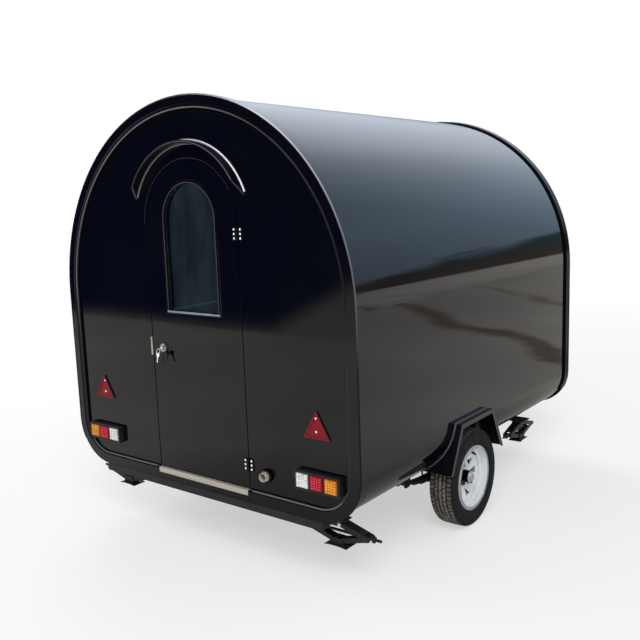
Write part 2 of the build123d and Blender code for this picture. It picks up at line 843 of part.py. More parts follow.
def jack_arm(plane, pivot, knuckle, width, web_above, pivot_bore, knuckle_bore):
    """Folded channel arm from a pivot to a knuckle; its web lies on the upper or lower edge."""
    run = knuckle[0] - pivot[0]
    rise = knuckle[1] - pivot[1]
    middle = ((pivot[0] + knuckle[0]) / 2, (pivot[1] + knuckle[1]) / 2, 0)
    length = math.hypot(run, rise)
    along = Location(middle, (0, 0, math.degrees(math.atan2(rise, run))))
    web_side = 1 if web_above == (run > 0) else -1
    with BuildPart() as arm:
        with BuildSketch(plane):
            with Locations(along):
                SlotCenterToCenter(length, 2 * jack_arm_radius)
        extrude(amount=width / 2, both=True)
        with BuildSketch(plane):
            with Locations(along):
                with Locations((0, -web_side * jack_sheet)):
                    Rectangle(length + 4 * jack_arm_radius, 2 * jack_arm_radius)
                with Locations((length / 2 - jack_knuckle_clear, 0)):
                    Rectangle(length, 4 * jack_arm_radius, align=(Align.MIN, Align.CENTER))
        extrude(amount=width / 2 - jack_sheet, both=True, mode=Mode.SUBTRACT)
        for centre, radius in ((pivot, pivot_bore), (knuckle, knuckle_bore)):
            if radius:
                with BuildSketch(plane):
                    with Locations(centre):
                        Circle(radius)
                extrude(amount=width, both=True, mode=Mode.SUBTRACT)
    return arm.part


pin_bore = jack_pin_radius + pin_clearance
knuckle_bore = jack_knuckle_radius + pin_clearance
for name, place, crank in jack_layout:
    plane = jack_plane(place, crank)
    for reach, end in ((1, "outer"), (-1, "inner")):
        top = (reach * jack_pivot, jack_top_z)
        knuckle = (reach * jack_knuckle, jack_mid_z)
        foot = (reach * jack_pivot, jack_foot_z)

        # Upper arm; the inner one carries stub pins that leave the middle free for the screw
        with BuildPart() as upper_arm:
            bore = knuckle_bore if reach > 0 else 0
            add(jack_arm(plane, top, knuckle, jack_upper_width, True, pin_bore, bore))
            if reach < 0:
                with BuildSketch(plane):
                    with Locations(knuckle):
                        Circle(jack_knuckle_radius)
                extrude(amount=jack_upper_width / 2, both=True)
                with BuildSketch(plane):
                    with Locations(knuckle):
                        Circle(2 * jack_knuckle_radius)
                extrude(amount=jack_screw_radius + room, both=True, mode=Mode.SUBTRACT)
        save(upper_arm, f"jack_{name}_upper_{end}")

        with BuildPart() as lower_arm:
            add(jack_arm(plane, foot, knuckle, jack_lower_width, False, pin_bore, knuckle_bore))
        save(lower_arm, f"jack_{name}_lower_{end}")

    # Foot: bowed plate with pointed ends, two ears and the pins of the lower arms
    foot_bottom_z = jack_foot_z - jack_foot_drop
    ear_inner = jack_lower_width / 2 + side_clearance
    ear_outer = ear_inner + jack_sheet
    with BuildPart() as jack_foot:
        with BuildSketch(plane):
            with BuildLine():
                ThreePointArc(
                    (-jack_foot_half_length, foot_bottom_z),
                    (0, foot_bottom_z + jack_foot_bow),
                    (jack_foot_half_length, foot_bottom_z),
                )
                Polyline(
                    (jack_foot_half_length, foot_bottom_z),
                    (jack_foot_half_length - jack_foot_point, foot_bottom_z + jack_foot_sheet),
                    (jack_foot_point - jack_foot_half_length, foot_bottom_z + jack_foot_sheet),
                    (-jack_foot_half_length, foot_bottom_z),
                )
            make_face()
        extrude(amount=jack_foot_width / 2, both=True)
        with BuildSketch(plane) as ear:
            with Locations((0, foot_bottom_z + jack_foot_bow)):
                Rectangle(
                    jack_pivot_spacing + 2 * jack_ear_margin,
                    jack_foot_drop - jack_foot_bow + jack_arm_radius,
                    align=(Align.CENTER, Align.MIN),
                )
            fillet(ear.vertices().group_by(Axis.Z)[-1], jack_ear_corner)
        extrude(amount=ear_outer, both=True)
        with BuildSketch(plane):
            with Locations((0, foot_bottom_z + jack_foot_sheet)):
                Rectangle(4 * jack_pivot_spacing, body_clearance, align=(Align.CENTER, Align.MIN))
        extrude(amount=ear_inner, both=True, mode=Mode.SUBTRACT)
        for place_u in (-jack_pivot, jack_pivot):
            add(round_bar(plane, (place_u, jack_foot_z), jack_pin_radius, ear_outer))
    save(jack_foot, f"jack_{name}_foot")

    # Screw: long bar through both knuckles, its cross pin at the outer one, and a thrust collar
    screw_start = -jack_knuckle - jack_screw_tail
    screw_root = plane.from_local_coords((screw_start, jack_mid_z, 0))
    across = Plane(origin=screw_root, x_dir=(0, 0, 1), z_dir=(*crank, 0))
    with BuildPart() as jack_screw:
        with BuildSketch(across):
            Circle(jack_screw_radius)
        extrude(amount=jack_knuckle + jack_crank_reach - screw_start)
        pin_half = jack_upper_width / 2 + jack_pin_tail
        add(round_bar(plane, (jack_knuckle, jack_mid_z), jack_knuckle_radius, pin_half))
        with BuildSketch(across.offset(jack_knuckle + jack_arm_radius + room - screw_start)):
            Circle(jack_collar_radius)
        extrude(amount=jack_collar)
    save(jack_screw, f"jack_{name}_screw")

# Jockey wheel: tube on a plate across the drawbar, sliding stem, swivelling fork and wheel
jockey_y = tip_y - jockey_from_tip
jockey_bore = jockey_tube_radius - jockey_tube_wall
stem_radius = jockey_bore - pin_clearance
tube_bottom_z = drawbar_bottom_z + jockey_tube_raise
crown_top_z = tube_bottom_z - room - jockey_travel
stem_top_z = jockey_tube_top_z - jockey_travel - jockey_stem_gap
arm_share = (drawbar_tip_y - jockey_y) / (drawbar_tip_y - drawbar_root_y)
arm_x = drawbar_tip_x + (drawbar_root_x - drawbar_tip_x) * arm_share
tube_length = jockey_tube_top_z - tube_bottom_z
with BuildPart() as jockey_tube:
    with Locations((0, jockey_y, tube_bottom_z)):
        Cylinder(jockey_tube_radius, tube_length, align=(Align.CENTER, Align.CENTER, Align.MIN))
    with Locations((0, jockey_y, drawbar_top_z)):
        Box(2 * arm_x, jockey_plate_length, jockey_plate, align=(Align.CENTER, Align.CENTER, Align.MIN))
    with Locations((0, jockey_y, tube_bottom_z)):
        Cylinder(
            jockey_bore, tube_length - jockey_tube_cap,
            align=(Align.CENTER, Align.CENTER, Align.MIN), mode=Mode.SUBTRACT,
        )
    with Locations((0, jockey_y, jockey_tube_top_z)):
        Cylinder(crank_spindle_radius, crank_spindle_height, align=(Align.CENTER, Align.CENTER, Align.MIN))
    crank_z = jockey_tube_top_z + crank_arm_rise
    with Locations((crank_arm_out, jockey_y, crank_z)):
        Box(*crank_arm)
    with Locations((2 * crank_arm_out, jockey_y, crank_z)):
        Cylinder(crank_grip_radius, crank_grip_height, align=(Align.CENTER, Align.CENTER, Align.MIN))
save(jockey_tube, "jockey_tube")

with BuildPart() as jockey_stem:
    with Locations((0, jockey_y, crown_top_z + pin_clearance)):
        Cylinder(stem_radius, stem_top_z - crown_top_z, align=(Align.CENTER, Align.CENTER, Align.MIN))
    with Locations((0, jockey_y, crown_top_z - jockey_crown)):
        Cylinder(
            jockey_king_pin_radius, jockey_crown + side_clearance,
            align=(Align.CENTER, Align.CENTER, Align.MIN),
        )
save(jockey_stem, "jockey_stem")

fork_inner = jockey_wheel_width / 2 + jockey_fork_gap
fork_half = fork_inner + jockey_fork_sheet
jockey_axle_y = jockey_y - jockey_trail
foot_back, foot_front = jockey_fork_foot
head_back, head_front = jockey_fork_head
with BuildPart() as jockey_fork:
    with BuildSketch(flank(0)):
        with BuildLine():
            Polyline(
                (jockey_axle_y - foot_back, jockey_wheel_radius - jockey_fork_below),
                (jockey_axle_y + foot_front, jockey_wheel_radius - jockey_fork_below),
                (jockey_y + head_front, crown_top_z),
                (jockey_y - head_back, crown_top_z),
                close=True,
            )
        make_face()
    extrude(amount=fork_half, both=True)
    with BuildSketch(flank(0)):
        with Locations((jockey_y, crown_top_z - jockey_crown)):
            Rectangle(body_clearance, body_clearance, align=(Align.CENTER, Align.MAX))
    extrude(amount=fork_inner, both=True, mode=Mode.SUBTRACT)
    with Locations((0, jockey_y, crown_top_z - 2 * jockey_crown)):
        Cylinder(
            jockey_king_pin_radius + pin_clearance, 4 * jockey_crown,
            align=(Align.CENTER, Align.CENTER, Align.MIN), mode=Mode.SUBTRACT,
        )
    axle_place = (jockey_axle_y, jockey_wheel_radius)
    add(round_bar(flank(0), axle_place, jockey_axle_radius, fork_half + jockey_axle_tail))
save(jockey_fork, "jockey_fork")

# One side of the jockey wheel's profile, from the tread in to the bore: out from its middle, radius
jockey_half = jockey_wheel_width / 2
boss_edge, dish_inner, dish_outer, tyre_inner = (share * jockey_wheel_radius for share in jockey_wheel_rings)
jockey_side = (
    (jockey_half - jockey_wheel_corner, jockey_wheel_radius),
    (jockey_half, jockey_wheel_radius - jockey_wheel_corner),
    (jockey_half, tyre_inner),
    (jockey_half - jockey_wheel_dish, dish_outer),
    (jockey_half - jockey_wheel_dish, dish_inner),
    (jockey_half, boss_edge),
    (jockey_half, jockey_axle_radius + pin_clearance),
)
with BuildPart() as jockey_wheel:
    with BuildSketch(station(jockey_axle_y)):
        with BuildLine():
            Polyline(
                *((out, jockey_wheel_radius + radius) for out, radius in jockey_side),
                *((-out, jockey_wheel_radius + radius) for out, radius in reversed(jockey_side)),
                close=True,
            )
        make_face()
    revolve(axis=Axis((0, jockey_axle_y, jockey_wheel_radius), (1, 0, 0)))
save(jockey_wheel, "jockey_wheel")

# Road wheels: tyre, then dished rim with vents, bolted hub barrel and dust cap
for side, name in ((1, "right"), (-1, "left")):
    spin = Axis((0, axle_y, tyre_radius), (1, 0, 0))

    def at(across, radius):
        """Point of a wheel profile, outwards from the wheel's middle and up from its axis."""
        return (side * (wheel_centre_x + across), tyre_radius + radius)

    bead = rim_half_width - pin_clearance
    bead_top = bead_radius + rim_flange_height + bead_gap
    shoulder = tyre_radius - tyre_shoulder
    bulge = (shoulder + bead_top) / 2
    with BuildPart() as tyre:
        with BuildSketch(station(axle_y)):
            with BuildLine():
                Line(at(-tread_half_width, tyre_radius), at(tread_half_width, tyre_radius))
                for edge in (1, -1):
                    ThreePointArc(
                        at(edge * tread_half_width, tyre_radius),
                        at(edge * (tyre_half_width - tyre_corner_in), tyre_radius - tyre_corner_drop),
                        at(edge * (tyre_half_width - tyre_shoulder_in), shoulder),
                    )
                    ThreePointArc(
                        at(edge * (tyre_half_width - tyre_shoulder_in), shoulder),
                        at(edge * tyre_half_width, bulge),
                        at(edge * bead, bead_top),
                    )
                    Line(at(edge * bead, bead_top), at(edge * bead, bead_radius + pin_clearance))
                Line(at(bead, bead_radius + pin_clearance), at(-bead, bead_radius + pin_clearance))
            make_face()
        revolve(axis=spin)
    save(tyre, f"tyre_{name}")

    flange_radius = bead_radius + rim_flange_height
    barrel = bead_radius - rim_wall
    edge_x = rim_half_width + rim_flange
    seat_half = rim_ledge_half - rim_fold
    well_half = rim_well_half - rim_fold
    disc_back = disc_face - disc_sheet
    hub_end = hub_inner_x - wheel_centre_x + room
    hub_bore = spindle_radius + pin_clearance
    with BuildPart() as wheel:
        with BuildSketch(station(axle_y)):
            with BuildLine():
                Polyline(
                    at(rim_half_width, flange_radius), at(edge_x, flange_radius), at(edge_x, barrel),
                    at(rim_ledge_half, barrel), at(rim_well_half, barrel - rim_well),
                    at(-rim_well_half, barrel - rim_well), at(-rim_ledge_half, barrel),
                    at(-edge_x, barrel), at(-edge_x, flange_radius), at(-rim_half_width, flange_radius),
                    at(-rim_half_width, bead_radius), at(-seat_half, bead_radius),
                    at(-well_half, bead_radius - rim_well), at(well_half, bead_radius - rim_well),
                    at(seat_half, bead_radius), at(rim_half_width, bead_radius),
                    close=True,
                )
            make_face()
        revolve(axis=spin)
        with BuildSketch(station(axle_y)):
            with BuildLine():
                Polyline(
                    at(disc_face + disc_edge_out, barrel - disc_edge),
                    at(disc_face + disc_shoulder_out, barrel - disc_shoulder),
                    at(disc_face + disc_root_out, vent_inner_radius - disc_root),
                    at(disc_face, vent_inner_radius - disc_flat),
                    at(disc_face, hub_radius),
                    at(hub_reach, hub_radius),
                    at(hub_reach, cap_radius),
                    at(hub_reach + cap_reach, cap_radius - cap_taper),
                    at(hub_reach + cap_reach, 0),
                    at(hub_reach - room + pin_clearance, 0),
                    at(hub_reach - room + pin_clearance, hub_bore),
                    at(hub_end, hub_bore),
                    at(hub_end, hub_radius + hub_flange),
                    at(disc_back, hub_radius + hub_flange),
                    at(disc_back, vent_inner_radius - disc_flat),
                    at(disc_back + disc_root_out, vent_inner_radius - disc_root),
                    at(disc_back + disc_shoulder_out, barrel - disc_shoulder),
                    at(disc_back + disc_edge_out, barrel - disc_edge),
                    close=True,
                )
            make_face()
        revolve(axis=spin)
        with BuildSketch(flank(side * wheel_centre_x)):
            with Locations((axle_y, tyre_radius)):
                for start_angle, tip, base in (
                    (0, vent_inner_radius, vent_outer_radius),
                    (180 / vent_count, vent_outer_radius, vent_inner_radius),
                ):
                    with PolarLocations(0, vent_count, start_angle):
                        Polygon((tip, 0), (base, vent_half_width), (base, -vent_half_width), align=None)
        extrude(amount=rim_half_width / 2, both=True, mode=Mode.SUBTRACT)
    save(wheel, f"wheel_{name}")

# Door: arched leaf with a raised window rim, its glass, hinge leaves and lock
with BuildPart() as door_leaf:
    with BuildSketch(station(rear_wall_y)):
        add(arch(door_half_width, door_bottom_z, door_spring_z))
    extrude(amount=wall, dir=(0, 1, 0))
    with BuildSketch(station(rear_wall_y)):
        add(arch(window_half_width + window_rim_width, window_bottom_z - window_rim_width, window_spring_z))
    extrude(amount=window_rim_proud, dir=(0, -1, 0))
    with BuildSketch(station(rear_wall_y - window_rim_proud)):
        add(arch(window_half_width, window_bottom_z, window_spring_z))
    extrude(amount=2 * wall, dir=(0, 1, 0), mode=Mode.SUBTRACT)
save(door_leaf, "door_leaf")

with BuildPart() as door_glass:
    with BuildSketch(station(rear_wall_y + wall / 2 - glass_thickness / 2)):
        add(arch(window_half_width - pin_clearance, window_bottom_z, window_spring_z))
    extrude(amount=glass_thickness, dir=(0, 1, 0))
save(door_glass, "door_glass")

with BuildPart() as door_lock:
    with BuildSketch(station(rear_wall_y)):
        with Locations((lock_x, lock_z)):
            Circle(lock_radius)
    extrude(amount=lock_reach, dir=(0, -1, 0))
    with BuildSketch(station(rear_wall_y)):
        with Locations((lock_x, lock_z)):
            Circle(lock_plug_radius)
    extrude(amount=lock_plug_reach, dir=(0, -1, 0))
save(door_lock, "door_lock")

# Butt hinges: the moving leaf has the middle knuckle, the fixed leaf the end ones and the pin
knuckle_height = hinge_height / 3


def hinge_leaf(frame, side, knuckles):
    """One leaf of a hinge whose frame has z along the pin, x over the fixed side and y into the wall."""
    towards = Align.MIN if side > 0 else Align.MAX
    gap = 0 if side > 0 else pin_clearance
    with BuildPart(frame) as leaf:
        with Locations((side * barrel_reach, hinge_axis_out, 0)):
            Box(hinge_plate_width, hinge_plate, hinge_height, align=(towards, Align.MAX, Align.CENTER))
        with Locations([(0, 0, step * knuckle_height) for step in knuckles]):
            Cylinder(hinge_barrel_radius, knuckle_height - 2 * gap)
            Box(
                barrel_reach + side_clearance, hinge_axis_out - hinge_plate, knuckle_height - 2 * gap,
                align=(towards, Align.MIN, Align.CENTER),
            )
        if side > 0:
            Cylinder(hinge_pin_radius, hinge_height)
        else:
            Cylinder(hinge_pin_radius + pin_clearance, hinge_height, mode=Mode.SUBTRACT)
    return leaf.part


door_hinge_frames = [
    Plane(origin=(hinge_x, hinge_y, z), x_dir=(1, 0, 0), z_dir=(0, 0, 1)) for z in hinge_heights
]

# Hatch hinge line, just outside the shell over the gap at the top of the opening
hatch_edge_z = hatch_top_z - hatch_gap / 2
hatch_edge_x = -math.sqrt(shell_radius**2 - (hatch_edge_z - crown_z) ** 2)
hatch_out = (hatch_edge_x / shell_radius, (hatch_edge_z - crown_z) / shell_radius)
hatch_axis_x = hatch_edge_x + hinge_axis_out * hatch_out[0]
hatch_axis_z = hatch_edge_z + hinge_axis_out * hatch_out[1]
hatch_hinge_frames = [
    Plane(
        origin=(hatch_axis_x, rear_y + hatch_rear + share * hatch_length, hatch_axis_z),
        x_dir=(hatch_out[1], 0, -hatch_out[0]),
        z_dir=(0, 1, 0),
    )
    for share in hatch_hinge_places
]

with BuildPart() as door_hinges:
    for frame in door_hinge_frames:
        add(hinge_leaf(frame, -1, (0,)))
save(door_hinges, "door_hinges")

with BuildPart() as hatch_hinges:
    for frame in hatch_hinge_frames:
        add(hinge_leaf(frame, -1, (0,)))
save(hatch_hinges, "hatch_hinges")

with BuildPart() as wall_hinges:
    for frame in door_hinge_frames + hatch_hinge_frames:
        add(hinge_leaf(frame, 1, (-1, 1)))
save(wall_hinges, "wall_hinges")

# Serving hatch: the cut-out of the left shell as a curved lid
with BuildPart() as hatch:
    with BuildSketch(station(rear_y + hatch_rear + hatch_gap)):
        add(half_shell(-1))
        with Locations((-body_width / 2, (hatch_bottom_z + hatch_top_z) / 2)):
            Rectangle(body_width, hatch_top_z - hatch_bottom_z - 2 * hatch_gap, mode=Mode.INTERSECT)
    extrude(amount=hatch_length - 2 * hatch_gap, dir=(0, 1, 0))
save(hatch, "hatch")
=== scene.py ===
"""Looks of the round-roofed food trailer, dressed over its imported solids.

Metres. +X is the trailer's right, +Y is forwards, +Z is up, as in the frame.
"""

import json
import math

import bmesh
import bpy
from mathutils import Matrix, Vector

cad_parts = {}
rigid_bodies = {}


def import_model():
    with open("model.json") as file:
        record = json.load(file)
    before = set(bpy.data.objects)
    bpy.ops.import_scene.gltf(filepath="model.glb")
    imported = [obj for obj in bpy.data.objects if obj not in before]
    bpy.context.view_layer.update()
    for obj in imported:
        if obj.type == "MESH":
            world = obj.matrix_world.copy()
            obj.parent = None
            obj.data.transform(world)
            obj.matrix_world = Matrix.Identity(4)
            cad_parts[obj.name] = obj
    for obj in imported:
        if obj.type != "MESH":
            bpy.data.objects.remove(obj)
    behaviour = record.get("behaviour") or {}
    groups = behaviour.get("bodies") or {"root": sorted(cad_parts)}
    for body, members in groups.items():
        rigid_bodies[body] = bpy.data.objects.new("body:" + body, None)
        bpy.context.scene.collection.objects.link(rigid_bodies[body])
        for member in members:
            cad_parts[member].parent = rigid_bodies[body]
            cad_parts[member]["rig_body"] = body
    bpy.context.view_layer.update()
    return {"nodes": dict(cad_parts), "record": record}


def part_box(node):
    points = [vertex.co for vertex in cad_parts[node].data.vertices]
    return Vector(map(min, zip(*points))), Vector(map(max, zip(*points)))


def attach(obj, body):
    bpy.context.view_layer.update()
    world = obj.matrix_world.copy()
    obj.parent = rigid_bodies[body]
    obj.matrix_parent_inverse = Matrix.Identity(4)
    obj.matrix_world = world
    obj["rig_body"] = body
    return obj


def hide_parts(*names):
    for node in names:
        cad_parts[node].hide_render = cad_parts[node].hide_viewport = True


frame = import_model()
nodes = frame["nodes"]
node_slot = {entry["node"]: entry["material_slot"] for entry in frame["record"]["subparts"]}
joints = {joint["name"]: joint for joint in frame["record"]["behaviour"]["joints"]}

# Places read from the frame
trim_low, trim_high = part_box("end_trims")
HALF_WIDTH = trim_high.x
REAR_Y = trim_low.y
FRONT_Y = trim_high.y
BASE_Z = trim_low.z
CROWN_Z = trim_high.z - HALF_WIDTH
REAR_WALL_Y, REAR_WALL_INNER_Y = (corner.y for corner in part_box("rear_wall"))
FRONT_WALL_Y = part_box("front_wall")[1].y
SHELL_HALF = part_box("right_shell")[1].x
tyre_low, tyre_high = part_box("tyre_right")
AXLE_Y = (tyre_low.y + tyre_high.y) / 2
TYRE_RADIUS = (tyre_high.z - tyre_low.z) / 2
WHEEL_X = (tyre_low.x + tyre_high.x) / 2
door_low, door_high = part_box("door_leaf")
glass_low, glass_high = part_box("door_glass")
lock_low, lock_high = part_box("door_lock")
drain_low, drain_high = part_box("drain_outlet")

# Sizes that the boxes don't give
CORNER_RADIUS = 0.240
TRIM_PROUD = 0.012
TRIM_BAND = 0.057
TRIM_FACE = 0.054
BEAD_OUTER = 0.057
BEAD_INNER = 0.069
WALL = 0.030
CORNER_X = HALF_WIDTH - CORNER_RADIUS
CORNER_Z = BASE_Z + CORNER_RADIUS

# Distances and angles of the mesh work
WELD = 1e-5
NEAR = 2e-4
FLAT_ANGLE = math.radians(0.6)
SHARP_ANGLE = math.radians(30)
SMOOTH_ANGLE = math.radians(38)


def outline_depth(x, z):
    """How far a point of the end view lies inside the body's outline."""
    if z >= CROWN_Z:
        return HALF_WIDTH - math.hypot(x, z - CROWN_Z)
    if z >= CORNER_Z:
        return HALF_WIDTH - abs(x)
    if abs(x) > CORNER_X:
        return CORNER_RADIUS - math.hypot(abs(x) - CORNER_X, z - CORNER_Z)
    return z - BASE_Z


# Shader helpers


def drive(tree, socket, value):
    """Give an input a value, or the socket that drives it."""
    if isinstance(value, bpy.types.NodeSocket):
        tree.links.new(value, socket)
    else:
        socket.default_value = value


def feed(tree, node, **inputs):
    """Drive inputs of a node, named with _ for spaces."""
    for name, value in inputs.items():
        drive(tree, node.inputs[name.replace("_", " ")], value)


def add_node(tree, kind, setting=(), **inputs):
    """Shader node with one setting, as (name, value), and its inputs."""
    node = tree.nodes.new(f"ShaderNode{kind}")
    if setting:
        setattr(node, *setting)
    feed(tree, node, **inputs)
    return node


def new_material(name, color, roughness, **inputs):
    """Material with a principled shader."""
    material = bpy.data.materials.new(name)
    material.use_nodes = True
    tree = material.node_tree
    shader = tree.nodes["Principled BSDF"]
    feed(tree, shader, Base_Color=(*color, 1), Roughness=roughness, **inputs)
    return material, tree, shader


def own_coords(tree):
    """Socket of the object's own coordinates."""
    return add_node(tree, "TexCoord").outputs["Object"]


def own_axes(tree, unit=False):
    """The x, y and z sockets of the object's own coordinates, or of their unit vector."""
    vector = own_coords(tree)
    if unit:
        vector = add_node(tree, "VectorMath", ("operation", "NORMALIZE"), Vector=vector).outputs["Vector"]
    return add_node(tree, "SeparateXYZ", Vector=vector).outputs[:]


def noise(tree, scale, detail=4.0, stretch=(1, 1, 1)):
    """Noise over the object's own coordinates, stretched along the axes with small factors."""
    place = add_node(tree, "Mapping", Vector=own_coords(tree), Scale=stretch).outputs["Vector"]
    return add_node(tree, "TexNoise", Vector=place, Scale=scale, Detail=detail).outputs["Fac"]


def spread(tree, factor, low, high, start=0.3, end=0.7):
    """Number from low to high as the factor goes from start to end."""
    node = add_node(tree, "MapRange", Value=factor, From_Min=start, From_Max=end, To_Min=low, To_Max=high)
    return node.outputs["Result"]


def ramp(tree, factor, *stops):
    """Colour that follows a factor through stops of (place, colour)."""
    node = add_node(tree, "ValToRGB", Fac=factor)
    elements = node.color_ramp.elements
    while len(elements) < len(stops):
        elements.new(0.5)
    for element, (place, color) in zip(elements, stops):
        element.position = place
        element.color = (*color, 1)
    return node.outputs["Color"]


def mix_colors(tree, factor, first, second):
    """Colour between two others, by a factor."""
    return add_node(tree, "Mix", ("data_type", "RGBA"), Factor=factor, A=first, B=second).outputs["Result"]


def sum_up(tree, operation, first, second=0.0):
    """Result of a maths operation on sockets or numbers."""
    node = add_node(tree, "Math", ("operation", operation))
    for value, socket in zip((first, second), node.inputs):
        drive(tree, socket, value)
    return node.outputs["Value"]


def hypotenuse(tree, first, second):
    """Distance that two sockets at right angles span."""
    squares = [sum_up(tree, "MULTIPLY", value, value) for value in (first, second)]
    return sum_up(tree, "SQRT", sum_up(tree, "ADD", *squares))


def bump(tree, shader, height, distance):
    """Raise the shaded surface by a height factor times a distance."""
    node = add_node(tree, "Bump", Height=height, Distance=distance, Strength=1.0)
    feed(tree, shader, Normal=node.outputs["Normal"])


# Finishes


def plain_finish(name, dark, light, roughness, grain, depth, stretch=(1, 1, 1), **inputs):
    """Finish that varies between two colours and two roughnesses, with a fine grain."""
    material, tree, shader = new_material(name, light, roughness[0], **inputs)
    mottle = noise(tree, grain / 6, 5.0, stretch)
    color = ramp(tree, mottle, (0.3, dark), (0.7, light))
    feed(tree, shader, Base_Color=color, Roughness=spread(tree, mottle, *roughness))
    bump(tree, shader, noise(tree, grain, 3.0, stretch), depth)
    return material


def painted_highlight_line(name, low, across):
    """Painted highlight line: greys from the trailer's left to its right side, as light would fall on it, and
    one for its lower half.
    """
    material, tree, shader = new_material(name, (low, low, low), 0.4, Specular_IOR_Level=0.02)
    x, _, z = own_axes(tree)
    last = len(across) - 1
    stops = [(index / last, (level, 0.99 * level, 1.12 * level)) for index, level in enumerate(across)]
    greys = ramp(tree, spread(tree, x, 0.0, 1.0, -HALF_WIDTH, HALF_WIDTH), *stops)
    upper = spread(tree, z, 0.0, 1.0, CROWN_Z - 0.25, CROWN_Z + 0.05)
    feed(tree, shader, Base_Color=mix_colors(tree, upper, (low, low, low, 1), greys),
         Roughness=spread(tree, noise(tree, 45), 0.34, 0.46))
    return material


def gloss_black(name):
    """Body paint: deep black gloss over panels that are a little wavy."""
    material, tree, shader = new_material(name, (0.0015, 0.0017, 0.003), 0.05, IOR=1.5)
    film = noise(tree, 2.3, 6.0)
    color = ramp(tree, film, (0.3, (0.0009, 0.0012, 0.0026)), (0.75, (0.0022, 0.0023, 0.0034)))
    feed(tree, shader, Base_Color=color, Roughness=spread(tree, film, 0.03, 0.075))
    bump(tree, shader, noise(tree, 1.4, 1.5, (1.0, 0.4, 1.0)), 0.0012)
    return material


def tread_rubber(name):
    """Tyre: dark side walls, black grooves and dry brown dust on the tread's ribs."""
    material, tree, shader = new_material(name, (0.012, 0.012, 0.013), 0.7, Specular_IOR_Level=0.22)
    _, y, z = own_axes(tree)
    radius = hypotenuse(tree, sum_up(tree, "SUBTRACT", y, AXLE_Y), sum_up(tree, "SUBTRACT", z, TYRE_RADIUS))
    tread = spread(tree, radius, 0.0, 1.0, TYRE_RADIUS - 0.007, TYRE_RADIUS - 0.001)
    dust = noise(tree, 55, 5.0)
    patchy = sum_up(tree, "MULTIPLY", tread, spread(tree, dust, 0.35, 1.0))
    brown = ramp(tree, patchy, (0.0, (0.009, 0.009, 0.0105)), (0.35, (0.035, 0.031, 0.028)),
                 (1.0, (0.19, 0.165, 0.135)))
    feed(tree, shader, Base_Color=brown, Roughness=spread(tree, dust, 0.62, 0.88))
    bump(tree, shader, noise(tree, 420, 3.0), 0.0006)
    return material


def tinted_glass(name):
    """Window pane: dark grey-green, clear enough to show the cabin's dim inside."""
    material, tree, shader = new_material(name, (0.20, 0.33, 0.40), 0.02, IOR=1.5, Transmission_Weight=1.0)
    smear = noise(tree, 7, 6.0, (1, 1, 0.35))
    tint = ramp(tree, smear, (0.38, (0.13, 0.22, 0.28)), (0.62, (0.27, 0.42, 0.47)))
    feed(tree, shader, Base_Color=tint, Roughness=spread(tree, smear, 0.01, 0.10))
    return material


def lens_plastic(name, color):
    """Moulded lamp plastic: one colour, a little mottled, with a fine grain."""
    material, tree, shader = new_material(name, color, 0.26, Specular_IOR_Level=0.35)
    darker = tuple(0.72 * value for value in color)
    feed(tree, shader, Base_Color=ramp(tree, noise(tree, 60, 3.0), (0.35, darker), (0.6, color)))
    bump(tree, shader, noise(tree, 700, 2.0), 0.0004)
    return material


def prism_red(name):
    """Reflector: deep red plastic with a fine honeycomb of prisms behind it."""
    material, tree, shader = new_material(name, (0.16, 0.004, 0.012), 0.34, Specular_IOR_Level=0.25)
    cells = add_node(tree, "TexVoronoi", Vector=own_coords(tree), Scale=260).outputs["Distance"]
    feed(tree, shader, Base_Color=ramp(tree, cells, (0.0, (0.33, 0.006, 0.018)), (0.8, (0.14, 0.003, 0.010))))
    bump(tree, shader, cells, 0.0008)
    return material


def chequer_floor(name):
    """Cabin floor: grey sheet with small raised lozenges."""
    material, tree, shader = new_material(name, (0.30, 0.30, 0.31), 0.45, Metallic=0.4)
    coords = own_coords(tree)
    waves = [
        add_node(tree, "TexWave", ("bands_direction", way), Vector=coords, Scale=14).outputs["Fac"]
        for way in ("DIAGONAL", "X")
    ]
    height = sum_up(tree, "MULTIPLY", *waves)
    feed(tree, shader, Base_Color=ramp(tree, height, (0.2, (0.20, 0.20, 0.21)), (0.7, (0.36, 0.36, 0.37))))
    bump(tree, shader, height, 0.002)
    return material


SATIN = ((0.28, 0.5), 160, 0.0003)
